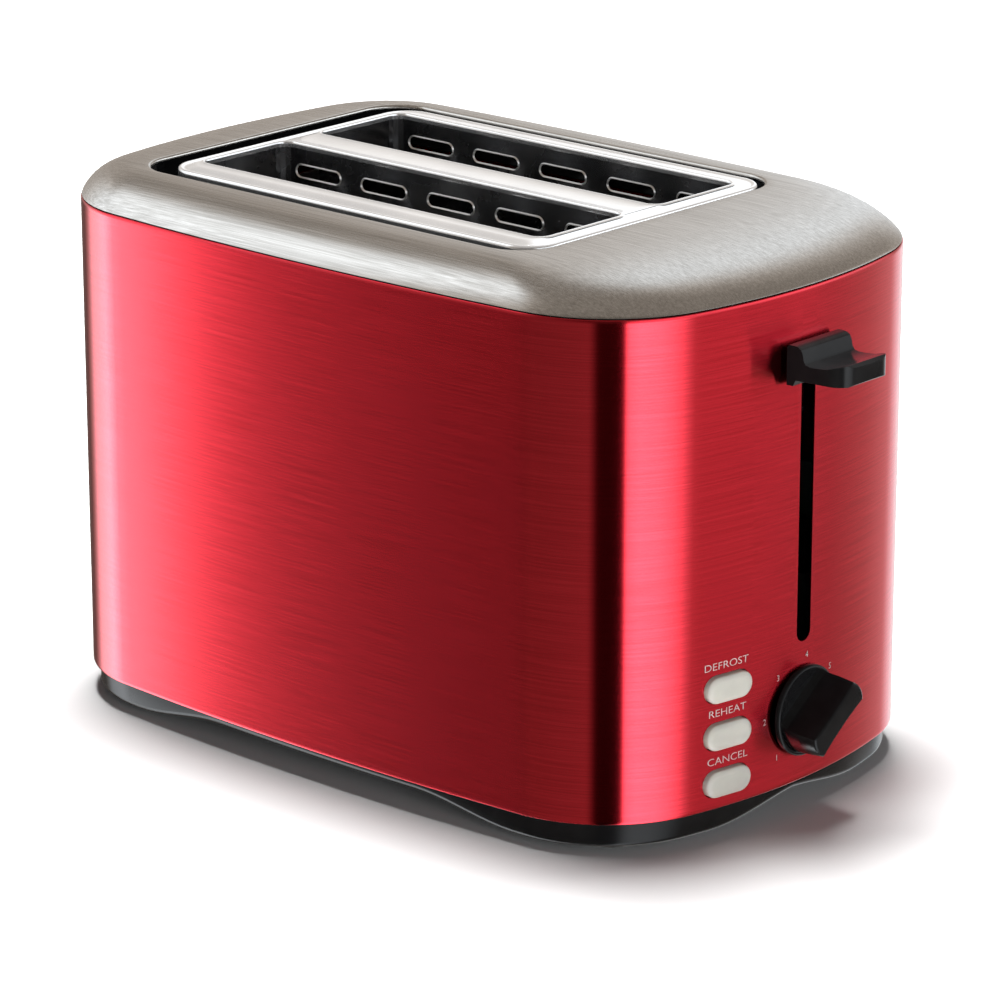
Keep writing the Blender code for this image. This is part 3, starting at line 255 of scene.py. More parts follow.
def roughen_by(tree, shader, pattern, low, high):
    """Spreads the roughness between two values over the pattern."""
    spread = add_node(tree, "ShaderNodeMapRange", {"Value": pattern, "To Min": low, "To Max": high})
    tree.links.new(spread.outputs["Result"], shader.inputs["Roughness"])


def brush_along(tree, shader, uv_map):
    """Turns the stretched highlight to follow a UV map."""
    tangent = add_node(tree, "ShaderNodeTangent", direction_type="UV_MAP", uv_map=uv_map)
    tree.links.new(tangent.outputs["Tangent"], shader.inputs["Tangent"])


# Every piece is shaped in millimetres about the middle of the body.
MM = 0.001
band_low, band_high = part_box("wrap_band")
BODY_MIDDLE = (band_low.x + band_high.x) / 2


def set_piece(name, bm, material, sharp=30.0):
    """The finished piece: its mesh is settled from millimetres about the body into metres."""
    bmesh.ops.transform(
        bm, matrix=Matrix.Translation((BODY_MIDDLE, 0, 0)) @ Matrix.Scale(MM, 4), verts=bm.verts
    )
    mesh = bpy.data.meshes.new(name)
    bm.to_mesh(mesh)
    bm.free()
    mesh.polygons.foreach_set("use_smooth", [True] * len(mesh.polygons))
    mesh.set_sharp_from_angle(angle=math.radians(sharp))
    mesh.materials.append(material)
    piece = bpy.data.objects.new(name, mesh)
    bpy.context.scene.collection.objects.link(piece)
    return piece


floor_paint, floor_tree, floor_shader = new_finish("floor_paint", Roughness=0.7)
colour_by(floor_tree, floor_shader, grain(floor_tree, 30.0), ((0.0, 0.80), (1.0, 0.83)))
# Away from the body the floor glows softly, so that it stays as pale as under the lamp.
floor_place = add_node(floor_tree, "ShaderNodeTexCoord").outputs["Object"]
floor_distance = add_node(floor_tree, "ShaderNodeVectorMath", {0: floor_place}, operation="LENGTH")
floor_glow = add_node(
    floor_tree, "ShaderNodeMapRange",
    {
        "Value": floor_distance.outputs["Value"], "From Min": FLOOR_GLOW_START,
        "From Max": FLOOR_GLOW_FULL, "To Max": FLOOR_GLOW,
    },
).outputs["Result"]
floor_shader.inputs["Emission Color"].default_value = (1.0, 1.0, 1.0, 1.0)
floor_tree.links.new(floor_glow, floor_shader.inputs["Emission Strength"])
floor_bm = bmesh.new()
bmesh.ops.create_grid(floor_bm, x_segments=1, y_segments=1, size=FLOOR_REACH / MM)
floor = set_piece("floor", floor_bm, floor_paint)
floor.visible_glossy = False


# ---------------------------------------------------------------- wrapped band
# The body's side is one strip of brushed stainless sheet under a clear red lacquer, bent round into
# an oval and closed at the back. Its edges are turned in, and the controls' holes are punched.
SIDE_RADIUS = 1119.0
END_RADIUS = 196.0
CORNER_X = 82.10
CORNER_Y = 35.96
HALF_LENGTH = (band_high.x - band_low.x) / 2 / MM
HALF_WIDTH = band_high.y / MM
BAND_BOTTOM = band_low.z / MM
BAND_TOP = band_high.z / MM
BAND_WALL = 0.8
OUTLINE_STEPS = {"end": 28, "corner": 30, "side": 40}
LEVER_SLOT_WIDTH = 6.6
LEVER_SLOT_BOTTOM = 54.8
LEVER_SLOT_TOP = 148.2
DIAL_Z = 33.0
BUTTON_Y = -32.6
BUTTON_Z = {"cancel": 18.3, "reheat": 33.3, "defrost": 48.3}
BUTTON_LENGTH = 17.6
BUTTON_HEIGHT = 8.3
KEY_CLEARANCE = 0.4
SHAFT_HOLE_RADIUS = 4.0
CORD_Z = 26.0
CORD_HOLE_RADIUS = 6.2
# Each punch reaches this far through the band, half of it on either side.
PUNCH_LENGTH = 12.0
SLOT_PUNCH_LENGTH = 20.0

end_centre_x = HALF_LENGTH - END_RADIUS
side_centre_y = HALF_WIDTH - SIDE_RADIUS
end_angle = math.degrees(math.atan2(CORNER_Y, CORNER_X - end_centre_x))
side_angle = math.degrees(math.atan2(CORNER_X, CORNER_Y - side_centre_y))
corner_angle = 90.0 - side_angle - end_angle


def end_surface_x(y):
    return end_centre_x + math.sqrt(END_RADIUS**2 - y**2)


def trace_body(bm, inset):
    """The oval outline as a closed loop of edges; each vertex keeps the way out and round."""
    out = bm.verts.layers.float_vector.new("out")
    around = bm.verts.layers.float.new("around")
    arcs = []
    for side in (1, -1):
        arcs += [
            ((side * end_centre_x, 0, 0), 2 * end_angle, "end"),
            ((side * CORNER_X, side * CORNER_Y, 0), corner_angle, "corner"),
            ((0, side * side_centre_y, 0), 2 * side_angle, "side"),
            ((-side * CORNER_X, side * CORNER_Y, 0), corner_angle, "corner"),
        ]
    radius = END_RADIUS - inset
    turn = math.radians(-end_angle)
    tip = bm.verts.new((end_centre_x + radius * math.cos(turn), radius * math.sin(turn), 0))
    for centre, degrees, kind in arcs:
        made = bmesh.ops.spin(
            bm, geom=[tip], cent=centre, axis=(0, 0, 1), angle=math.radians(degrees),
            steps=OUTLINE_STEPS[kind], use_merge=False, use_duplicate=False,
        )
        tip = next(g for g in made["geom_last"] if isinstance(g, bmesh.types.BMVert))
    bmesh.ops.remove_doubles(bm, verts=bm.verts, dist=0.05)
    bm.verts.ensure_lookup_table()
    start = bm.verts[0]
    before, here, length = None, start, 0.0
    while True:
        here[around] = length
        edge = next(e for e in here.link_edges if e.other_vert(here) is not before)
        if before is None:
            edge = max(here.link_edges, key=lambda e: e.other_vert(here).co.y)
        before, here = here, edge.other_vert(here)
        length += edge.calc_length()
        if here is start:
            break
    for vert in bm.verts:
        one, two = (e.other_vert(vert).co for e in vert.link_edges)
        along = one - two
        across = Vector((along.y, -along.x, 0)).normalized()
        vert[out] = across if across.dot(vert.co) > 0 else -across
    return list(bm.edges), length


def extend_rim(bm, rim, rise, inward):
    """Extrudes the rim's edges up by rise and inward, and returns the new rim."""
    out = bm.verts.layers.float_vector["out"]
    made = bmesh.ops.extrude_edge_only(bm, edges=rim)["geom"]
    verts = {g for g in made if isinstance(g, bmesh.types.BMVert)}
    for vert in verts:
        vert.co += Vector((0, 0, rise)) - inward * vert[out]
    return [
        g for g in made
        if isinstance(g, bmesh.types.BMEdge) and g.verts[0] in verts and g.verts[1] in verts
    ]


def follow_profile(bm, rim, profile):
    """Extends the rim through a profile of (height, inset) stations, starting at the first."""
    for (z0, inset0), (z1, inset1) in zip(profile, profile[1:]):
        rim = extend_rim(bm, rim, z1 - z0, inset1 - inset0)
    return rim


def wrap_pattern(piece, length):
    """A UV map in metres, along the sheet and up it, so that the brushing follows the wrap."""
    mesh = piece.data
    around = [item.value * MM for item in mesh.attributes["around"].data]
    uv = mesh.uv_layers.new(name="wrap").data
    for polygon in mesh.polygons:
        values = [around[mesh.loops[i].vertex_index] for i in polygon.loop_indices]
        crosses = max(values) - min(values) > length * MM / 2
        for i, value in zip(polygon.loop_indices, values):
            if crosses and value < length * MM / 2:
                value += length * MM
            uv[i].uv = (value, mesh.vertices[mesh.loops[i].vertex_index].co.z)


def stadium(bm, half_length, half_height, steps=10):
    """A pill outline in the YZ plane as one face that looks along +X."""
    straight = half_length - half_height
    tip = bm.verts.new((0, straight, -half_height))
    for side in (1, -1):
        made = bmesh.ops.spin(
            bm, geom=[tip], cent=(0, side * straight, 0), axis=(1, 0, 0), angle=math.pi,
            steps=steps, use_merge=False, use_duplicate=False,
        )
        tip = next(g for g in made["geom_last"] if isinstance(g, bmesh.types.BMVert))
        if side == 1:
            across = bmesh.ops.extrude_vert_indiv(bm, verts=[tip])["verts"][0]
            across.co.y -= 2 * straight
            tip = across
    bm.edges.new((tip, bm.verts[:][0]))
    bmesh.ops.contextual_create(bm, geom=bm.edges)
    bmesh.ops.recalc_face_normals(bm, faces=bm.faces)
    if bm.faces[:][0].normal.x < 0:
        bmesh.ops.reverse_faces(bm, faces=bm.faces)
    return bm.faces[:][0]


def push_out(bm, face, x):
    """Extrudes a face along X by x and returns the far face."""
    made = bmesh.ops.extrude_face_region(bm, geom=[face])["geom"]
    verts = [g for g in made if isinstance(g, bmesh.types.BMVert)]
    bmesh.ops.translate(bm, verts=verts, vec=(x, 0, 0))
    return next(g for g in made if isinstance(g, bmesh.types.BMFace))


def punch(piece, tools, operation="DIFFERENCE"):
    """Cuts the tools out of the piece, or joins them to it, and takes them away."""
    for tool in tools:
        modifier = piece.modifiers.new("punch", "BOOLEAN")
        modifier.operation = operation
        modifier.solver = "EXACT"
        modifier.object = tool
    bpy.context.view_layer.update()
    graph = bpy.context.evaluated_depsgraph_get()
    cut = bpy.data.meshes.new_from_object(piece.evaluated_get(graph))
    piece.modifiers.clear()
    old, piece.data = piece.data, cut
    cut.name = old.name
    for tool in tools:
        bpy.data.objects.remove(tool, do_unlink=True)


def closed_tool(name, bm):
    """A cutter: a closed mesh with its faces turned outward."""
    bmesh.ops.recalc_face_normals(bm, faces=bm.faces)
    return set_piece(name, bm, lacquered_steel)


lacquered_steel, tree, shader = new_finish(
    "lacquered_steel", Metallic=1.0, Anisotropic=1.0, Anisotropic_Rotation=0.25,
    Coat_Weight=0.35, Coat_Roughness=0.1, Coat_IOR=1.5,
)
streaks = grain(tree, 1.0, (32.0, 2300.0, 1.0), 4.0, "UV")
fine_streaks = grain(tree, 1.0, (90.0, 9000.0, 1.0), 2.0, "UV")
colour_by(
    tree, shader, streaks,
    ((0.3, (0.50, 0.012, 0.023)), (0.5, (0.60, 0.017, 0.032)), (0.7, (0.70, 0.026, 0.045))),
)
roughen_by(tree, shader, fine_streaks, 0.17, 0.24)
brush_along(tree, shader, "wrap")
bump(tree, shader, streaks, 0.09, 0.00004)

band_bm = bmesh.new()
rim, wrap_length = trace_body(band_bm, 0.0)
band_profile = [
    (BAND_BOTTOM + 0.55, 0.0), (BAND_BOTTOM + 1.2, 0.0), (BAND_TOP - 1.2, 0.0),
    (BAND_TOP - 0.55, 0.0), (BAND_TOP - 0.22, 0.10), (BAND_TOP - 0.04, 0.30), (BAND_TOP, 0.55),
    (BAND_TOP - 0.1, BAND_WALL),
    (BAND_BOTTOM + 0.1, BAND_WALL), (BAND_BOTTOM, 0.55), (BAND_BOTTOM + 0.04, 0.30),
    (BAND_BOTTOM + 0.22, 0.10), (BAND_BOTTOM + 0.55, 0.0),
]
bmesh.ops.translate(band_bm, verts=band_bm.verts, vec=(0, 0, band_profile[0][0]))
follow_profile(band_bm, rim, band_profile)
bmesh.ops.remove_doubles(band_bm, verts=band_bm.verts, dist=0.01)
bmesh.ops.recalc_face_normals(band_bm, faces=band_bm.faces)
band = set_piece("lacquered_band", band_bm, lacquered_steel)


def key_place(z):
    """The place and turn of a key, square to the curved end at that height."""
    middle = Matrix.Translation((end_surface_x(BUTTON_Y), BUTTON_Y, z))
    return middle @ Matrix.Rotation(math.asin(BUTTON_Y / END_RADIUS), 4, "Z")


punches = []
slot_bm = bmesh.new()
slot_face = stadium(slot_bm, (LEVER_SLOT_TOP - LEVER_SLOT_BOTTOM) / 2, LEVER_SLOT_WIDTH / 2)
push_out(slot_bm, slot_face, SLOT_PUNCH_LENGTH)
bmesh.ops.rotate(
    slot_bm, verts=slot_bm.verts, cent=(0, 0, 0), matrix=Matrix.Rotation(math.pi / 2, 3, "X")
)
bmesh.ops.translate(
    slot_bm, verts=slot_bm.verts,
    vec=(HALF_LENGTH - SLOT_PUNCH_LENGTH / 2, 0, (LEVER_SLOT_TOP + LEVER_SLOT_BOTTOM) / 2),
)
punches.append(closed_tool("slot_punch", slot_bm))
for name, z in BUTTON_Z.items():
    hole_bm = bmesh.new()
    hole_face = stadium(
        hole_bm, BUTTON_LENGTH / 2 + KEY_CLEARANCE, BUTTON_HEIGHT / 2 + KEY_CLEARANCE
    )
    push_out(hole_bm, hole_face, PUNCH_LENGTH)
    bmesh.ops.translate(hole_bm, verts=hole_bm.verts, vec=(-PUNCH_LENGTH / 2, 0, 0))
    bmesh.ops.transform(hole_bm, verts=hole_bm.verts, matrix=key_place(z))
    punches.append(closed_tool(name + "_punch", hole_bm))
for name, x, z, radius in (
    ("shaft", HALF_LENGTH, DIAL_Z, SHAFT_HOLE_RADIUS),
    ("cord", -HALF_LENGTH, CORD_Z, CORD_HOLE_RADIUS),
):
    hole_bm = bmesh.new()
    bmesh.ops.create_cone(
        hole_bm, cap_ends=True, segments=32, radius1=radius, radius2=radius, depth=PUNCH_LENGTH,
        matrix=Matrix.Translation((x, 0, z)) @ Matrix.Rotation(math.pi / 2, 4, "Y"),
    )
    punches.append(closed_tool(name + "_punch", hole_bm))
punch(band, punches)
wrap_pattern(band, wrap_length)
band.data.set_sharp_from_angle(angle=math.radians(30))
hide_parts("wrap_band")
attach(band, "casing")


# ---------------------------------------------------------------- domed cover
# The top is one pressing of stainless sheet, brushed along the body's length. It rises steeply from
# the band, runs nearly flat across the top, and is rolled down round the long opening.
cover_low, cover_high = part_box("top_cover")
COVER_BOTTOM = cover_low.z / MM
COVER_TOP = cover_high.z / MM
COVER_INSET = 0.3
COVER_RINGS = 26
# The rings crowd toward the seam by one power, and the rise follows the other two.
RING_CROWDING = 1.9
RISE_POWER = 3
RISE_SOFTNESS = 1.25
OPENING_LEFT, OPENING_RIGHT, OPENING_HALF, OPENING_CORNER = -95.3, 70.6, 60.65, 14.0
ROLL = 0.9
ROLL_SKIRT = 0.3

brushed_steel, tree, shader = new_finish(
    "brushed_steel", Metallic=1.0, Anisotropic=0.8, Anisotropic_Rotation=0.25
)
streaks = grain(tree, 1.0, (24.0, 2100.0, 2100.0), 4.0)
fine_streaks = grain(tree, 1.0, (70.0, 6500.0, 6500.0), 2.0)
colour_by(
    tree, shader, streaks,
    ((0.3, (0.43, 0.415, 0.39)), (0.5, (0.57, 0.555, 0.53)), (0.7, (0.72, 0.705, 0.68))),
)
roughen_by(tree, shader, fine_streaks, 0.21, 0.32)
brush_along(tree, shader, "brushing")
bump(tree, shader, streaks, 0.08, 0.00004)


def flat_pattern(piece):
    """A UV map laid straight down on the piece, so that its tangent runs along the body."""
    mesh = piece.data
    uv = mesh.uv_layers.new(name="brushing").data
    for loop in mesh.loops:
        place = mesh.vertices[loop.vertex_index].co
        uv[loop.index].uv = (place.x, place.y)


def trace_rounded(bm, left, right, half, corner, steps=None):
    """A rounded rectangle as a closed loop, in as many steps as the body's outline."""
    steps = steps or OUTLINE_STEPS
    out = bm.verts.layers.float_vector.get("out") or bm.verts.layers.float_vector.new("out")
    old = set(bm.verts)
    tip = bm.verts.new((right, -half + corner, 0))
    stretches = (
        ((0, 2 * (half - corner), 0), "end", (right - corner, half - corner)),
        ((-(right - left - 2 * corner), 0, 0), "side", (left + corner, half - corner)),
        ((0, -2 * (half - corner), 0), "end", (left + corner, corner - half)),
        ((right - left - 2 * corner, 0, 0), "side", (right - corner, corner - half)),
    )
    for run, kind, centre in stretches:
        count = steps[kind]
        made = bmesh.ops.spin(
            bm, geom=[tip], cent=(0, 0, 0), axis=(0, 0, 1), dvec=Vector(run) / count, angle=0.0,
            steps=count, use_merge=False, use_duplicate=False,
        )
        tip = next(g for g in made["geom_last"] if isinstance(g, bmesh.types.BMVert))
        made = bmesh.ops.spin(
            bm, geom=[tip], cent=(*centre, 0), axis=(0, 0, 1), angle=math.pi / 2,
            steps=steps["corner"], use_merge=False, use_duplicate=False,
        )
        tip = next(g for g in made["geom_last"] if isinstance(g, bmesh.types.BMVert))
    new = [v for v in bm.verts if v not in old]
    bmesh.ops.remove_doubles(bm, verts=new, dist=0.02)
    new = [v for v in bm.verts if v not in old]
    middle = Vector(((left + right) / 2, 0, 0))
    for vert in new:
        inner = Vector((
            min(max(vert.co.x, left + corner), right - corner),
            min(max(vert.co.y, corner - half), half - corner), 0,
        ))
        flat = Vector((vert.co.x, vert.co.y, 0))
        way = flat - inner
        vert[out] = way.normalized() if way.length > 1e-6 else (flat - middle).normalized()
    return [e for e in bm.edges if e.verts[0] not in old and e.verts[1] not in old]


cover_bm = bmesh.new()
seam, _ = trace_body(cover_bm, COVER_INSET)
span = cover_bm.verts.layers.float_vector.new("span")
share = cover_bm.verts.layers.float.new("share")
mouth = trace_rounded(
    cover_bm, OPENING_LEFT - ROLL, OPENING_RIGHT + ROLL, OPENING_HALF + ROLL, OPENING_CORNER + ROLL
)
mouth_verts = {v for e in mouth for v in e.verts}
for vert in mouth_verts:
    vert[share] = 1.0
bmesh.ops.bridge_loops(cover_bm, edges=seam + mouth)
ribs = [e for e in cover_bm.edges if (e.verts[0] in mouth_verts) != (e.verts[1] in mouth_verts)]
for rib in ribs:
    inner = rib.verts[0] if rib.verts[0] in mouth_verts else rib.verts[1]
    outer = rib.other_vert(inner)
    inner[span] = inner.co - outer.co
    outer[span] = inner.co - outer.co
bmesh.ops.subdivide_edges(cover_bm, edges=ribs, cuts=COVER_RINGS - 1)
for vert in cover_bm.verts:
    even = vert[share]
    crowded = even**RING_CROWDING
    vert.co += (crowded - even) * vert[span]
    rise = (1.0 - (1.0 - crowded) ** RISE_POWER) ** (1 / RISE_SOFTNESS)
    vert.co.z = COVER_BOTTOM + (COVER_TOP - COVER_BOTTOM) * rise
mouth = [e for e in cover_bm.edges if e.is_boundary and all(v[share] > 0.999 for v in e.verts)]
seam = [e for e in cover_bm.edges if e.is_boundary and all(v[share] < 0.001 for v in e.verts)]
roll_profile = [(0.0, 0.0)]
for step in range(1, 7):
    turn = math.radians(15 * step)
    roll_profile.append((ROLL * (math.cos(turn) - 1), ROLL * math.sin(turn)))
roll_profile += [(-ROLL - ROLL_SKIRT, ROLL), (-ROLL - ROLL_SKIRT, 0.0)]
follow_profile(cover_bm, mouth, roll_profile)
follow_profile(cover_bm, seam, [(0.0, 0.0), (0.0, 0.25), (0.05, 0.5), (0.05, 2.4)])
bmesh.ops.recalc_face_normals(cover_bm, faces=cover_bm.faces)
top_face = max(
    cover_bm.faces,
    key=lambda f: abs(f.normal.z) * (f.calc_center_median().z > COVER_TOP - 0.5),
)
if top_face.normal.z < 0:
    bmesh.ops.reverse_faces(cover_bm, faces=cover_bm.faces)
cover = set_piece("domed_cover", cover_bm, brushed_steel, 50.0)
flat_pattern(cover)
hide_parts("top_cover")
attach(cover, "casing")


# ---------------------------------------------------------------- slot plate
# The plate round the two slots is bright polished sheet. Its outer edge is pressed down to a
# shallow step and rolled over, and each slot has a small rolled lip.
_, plate_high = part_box("slot_plate")
PLATE_LEFT, PLATE_RIGHT, PLATE_HALF, PLATE_CORNER = -86.0, 70.0, 55.75, 9.0
PLATE_TOP = plate_high.z / MM
SLOT_LEFT, SLOT_RIGHT, SLOT_NEAR, SLOT_FAR, SLOT_CORNER = -80.0, 64.0, 7.25, 45.85, 4.0
PLATE_STEPS = {"end": 1, "corner": 12, "side": 1}
STEP_START = 6.2
STEP_ROUNDING = 1.6
SLOT_LIP_WIDTH = 1.3
SLOT_LIP_RISE = 0.35

polished_steel, tree, shader = new_finish("polished_steel", Metallic=0.8)
smears = grain(tree, 38.0, detail=4.0)
drawn = grain(tree, 1.0, (40.0, 40.0, 900.0), 2.0)
colour_by(tree, shader, smears, ((0.3, (0.74, 0.745, 0.75)), (0.7, (0.84, 0.845, 0.85))))
roughen_by(tree, shader, smears, 0.08, 0.2)
bump(tree, shader, drawn, 0.06, 0.00005)

plate_bm = bmesh.new()
edge = trace_rounded(
    plate_bm, PLATE_LEFT + STEP_START, PLATE_RIGHT - STEP_START, PLATE_HALF - STEP_START,
    PLATE_CORNER - STEP_START + STEP_ROUNDING, PLATE_STEPS,
)
slot_rims = []
for side in (1, -1):
    rim_edges = trace_rounded(
        plate_bm, SLOT_LEFT, SLOT_RIGHT, (SLOT_FAR - SLOT_NEAR) / 2, SLOT_CORNER, PLATE_STEPS
    )
    rim_verts = list({v for e in rim_edges for v in e.verts})
    bmesh.ops.translate(plate_bm, verts=rim_verts, vec=(0, side * (SLOT_FAR + SLOT_NEAR) / 2, 0))
    slot_rims.append(rim_edges)
bmesh.ops.translate(plate_bm, verts=plate_bm.verts, vec=(0, 0, PLATE_TOP - SLOT_LIP_RISE))
# A slot's rim is met from outside, so its way out points to the slot's middle from here on.
out = plate_bm.verts.layers.float_vector["out"]
for rim_edges in slot_rims:
    for vert in {v for e in rim_edges for v in e.verts}:
        vert[out] = -vert[out]
        vert.co -= SLOT_LIP_WIDTH * vert[out]
bmesh.ops.triangle_fill(plate_bm, edges=plate_bm.edges, use_beauty=True)
step_profile = [
    (0.0, 0.0), (-0.05, -0.7), (-0.25, -1.6), (-0.6, -2.8), (-0.95, -3.8), (-1.02, -4.2),
    (-0.85, -4.6), (-0.62, -5.1), (-0.62, -5.5), (-0.9, -5.9), (-1.4, -6.15), (-2.0, -6.2),
    (-5.2, -6.2),
]
follow_profile(plate_bm, edge, step_profile)
lip_profile = [
    (0.0, 0.0), (0.12, -0.25), (0.30, -0.5), (0.35, -0.8), (0.28, -1.05), (0.0, -1.25),
    (-0.6, -1.3), (-1.6, -1.3),
]
for rim_edges in slot_rims:
    follow_profile(plate_bm, rim_edges, lip_profile)
bmesh.ops.recalc_face_normals(plate_bm, faces=plate_bm.faces)
if max(plate_bm.faces, key=lambda f: f.calc_area()).normal.z < 0:
    bmesh.ops.reverse_faces(plate_bm, faces=plate_bm.faces)
plate = set_piece("polished_plate", plate_bm, polished_steel, 40.0)
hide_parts("slot_plate")
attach(plate, "casing")


# ---------------------------------------------------------------- vent rims
# Each vent punched high in the slots' long walls has its edge pressed out into a narrow rim. Its
# near-white steel is a painted highlight.
VENTS = 5
VENT_HALF_LENGTH = 10.0
VENT_HALF_HEIGHT = 2.3
VENT_Z = 168.9
VENT_RIM = 0.7
VENT_RIM_OVERLAP = 0.2
VENT_RIM_PROUD = 0.5
RIM_RISE_SHARE = 0.45
WALL_SET_BACK = 0.4
vent_pitch = (SLOT_RIGHT - SLOT_LEFT) / VENTS

# Painted highlight: the rims are the liners' steel, coloured near white for the light their edges
# catch.
painted_highlight_steel, tree, shader = new_finish("painted_highlight_steel", Metallic=1.0, Roughness=0.4)
rim_grain = grain(tree, 300.0, detail=4.0)
colour_by(tree, shader, rim_grain, ((0.3, (0.86, 0.85, 0.83)), (0.7, (0.97, 0.96, 0.94))))
bump(tree, shader, rim_grain, 0.1, 0.00003)

vents_bm = bmesh.new()
for side in (1, -1):
    for wall_y, facing in ((SLOT_NEAR - WALL_SET_BACK, side), (SLOT_FAR + WALL_SET_BACK, -side)):
        for index in range(VENTS):
            rim_bm = bmesh.new()
            middle = stadium(
                rim_bm, VENT_HALF_LENGTH + VENT_RIM_OVERLAP, VENT_HALF_HEIGHT + VENT_RIM_OVERLAP
            )
            ring = bmesh.ops.inset_region(
                rim_bm, faces=[middle], thickness=VENT_RIM * RIM_RISE_SHARE, use_boundary=True
            )["faces"]
            crest = bmesh.ops.inset_region(
                rim_bm, faces=[middle], thickness=VENT_RIM * (1 - RIM_RISE_SHARE)
            )["faces"]
            proud = {v for f in ring for v in f.verts} & {v for f in crest for v in f.verts}
            bmesh.ops.translate(rim_bm, verts=list(proud), vec=(VENT_RIM_PROUD, 0, 0))
            bmesh.ops.delete(rim_bm, geom=[middle], context="FACES_ONLY")
            vent_x = SLOT_LEFT + (index + 0.5) * vent_pitch
            bmesh.ops.transform(
                rim_bm, verts=rim_bm.verts,
                matrix=Matrix.Translation((vent_x, side * wall_y, VENT_Z))
                @ Matrix.Rotation(facing * math.pi / 2, 4, "Z"),
            )
            rim_mesh = bpy.data.meshes.new("vent_rim")
            rim_bm.to_mesh(rim_mesh)
            rim_bm.free()
            vents_bm.from_mesh(rim_mesh)
            bpy.data.meshes.remove(rim_mesh)
vent_rims = set_piece("vent_rims", vents_bm, painted_highlight_steel, 60.0)
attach(vent_rims, "casing")


# ---------------------------------------------------------------- lever
# The lever is one black moulding on the carriage's arm: a back plate against the body, a rounded
# ridge along its top, and a paddle that dips for the fingers and rises to a bevelled lip.
lever_low, lever_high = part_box("lever_knob")
LEVER_BACK = lever_low.x / MM - BODY_MIDDLE / MM
LEVER_BOTTOM = lever_low.z / MM
LEVER_REACH = (lever_high.x - lever_low.x) / MM
LEVER_HALF = lever_high.y / MM
LEVER_HEIGHT = (lever_high.z - lever_low.z) / MM
LEVER_CORNER = 5.5
LEVER_BOW = 0.5
LEVER_ROUNDING = 0.35
# The block that trims the lever to its plan reaches past it behind, below and above.
PLAN_BEHIND = 12.0
PLAN_BELOW = 8.0
PLAN_HEIGHT = 30.0

black_moulding, tree, shader = new_finish("black_moulding", Specular_IOR_Level=0.1)
texture = grain(tree, 2600.0, detail=2.0)
cloud = grain(tree, 60.0)
colour_by(tree, shader, cloud, ((0.3, (0.006, 0.006, 0.0065)), (0.7, (0.012, 0.012, 0.0125))))
roughen_by(tree, shader, cloud, 0.16, 0.26)
bump(tree, shader, texture, 0.06, 0.00002)


lever_profile = (
    (0.0, 0.0), (2.4, 0.0), (3.4, 1.9), (LEVER_REACH - 0.9, 2.5), (LEVER_REACH - 0.1, 3.1),
    (LEVER_REACH, 8.2), (LEVER_REACH - 1.3, 9.0), (LEVER_REACH - 4.6, 8.1), (15.0, 7.4),
    (11.0, 7.0), (8.6, 6.95), (7.1, 7.3), (6.35, 8.3), (5.9, 10.3), (5.3, 11.5), (4.2, 12.2),
    (3.0, LEVER_HEIGHT), (0.8, LEVER_HEIGHT), (0.0, LEVER_HEIGHT - 1.0),
)
lever_bm = bmesh.new()
corners = [
    lever_bm.verts.new((LEVER_BACK + x, -LEVER_HALF, LEVER_BOTTOM + z)) for x, z in lever_profile
]
lever_bm.faces.new(corners)
made = bmesh.ops.extrude_face_region(lever_bm, geom=lever_bm.faces[:])["geom"]
fresh = [g for g in made if isinstance(g, bmesh.types.BMVert)]
bmesh.ops.translate(lever_bm, verts=fresh, vec=(0, 2 * LEVER_HALF, 0))
bmesh.ops.recalc_face_normals(lever_bm, faces=lever_bm.faces)
lever = set_piece("lever", lever_bm, black_moulding)
plan_bm = bmesh.new()
trace_rounded(
    plan_bm, LEVER_BACK - PLAN_BEHIND, LEVER_BACK + LEVER_REACH, LEVER_HALF, LEVER_CORNER,
    {"end": 12, "corner": 8, "side": 1},
)
for vert in plan_bm.verts:
    if vert.co.x > LEVER_BACK:
        vert.co.x -= LEVER_BOW * (vert.co.y / LEVER_HALF) ** 2
bmesh.ops.contextual_create(plan_bm, geom=plan_bm.edges)
made = bmesh.ops.extrude_face_region(plan_bm, geom=plan_bm.faces[:])["geom"]
fresh = [g for g in made if isinstance(g, bmesh.types.BMVert)]
bmesh.ops.translate(plan_bm, verts=fresh, vec=(0, 0, PLAN_HEIGHT))
bmesh.ops.translate(plan_bm, verts=plan_bm.verts, vec=(0, 0, LEVER_BOTTOM - PLAN_BELOW))
punch(lever, [closed_tool("lever_plan", plan_bm)], "INTERSECT")
# Every sharp edge is rounded, and the flat faces stay flat to the eye.
rounded = lever.modifiers.new("rounded", "BEVEL")
rounded.width = LEVER_ROUNDING * MM
rounded.segments = 3
rounded.limit_method = "ANGLE"
rounded.angle_limit = math.radians(25)
rounded.harden_normals = True
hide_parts("lever_knob")
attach(lever, "carriage")


# ---------------------------------------------------------------- base skirt
# The black base shows as a thin band under the body. It is moulded in one with the floor pan: it
# turns in underneath, and swells down into a broad foot at each corner.
FOOT_RUN = 40.0
skirt_profile = (
    # Height on a straight side, height over a foot, and how far in from the body's outline.
    (12.5, 12.5, 2.3), (8.6, 3.6, 2.35), (7.6, 2.6, 2.7), (6.9, 2.1, 3.3), (6.45, 1.85, 4.2),
    (6.3, 1.85, 5.4), (4.9, 2.0, 12.0), (3.3, 3.0, 20.0),
)


def smooth_share(value):
    """Goes smoothly from nothing to one as value does."""
    value = min(max(value, 0.0), 1.0)
    return value * value * (3 - 2 * value)


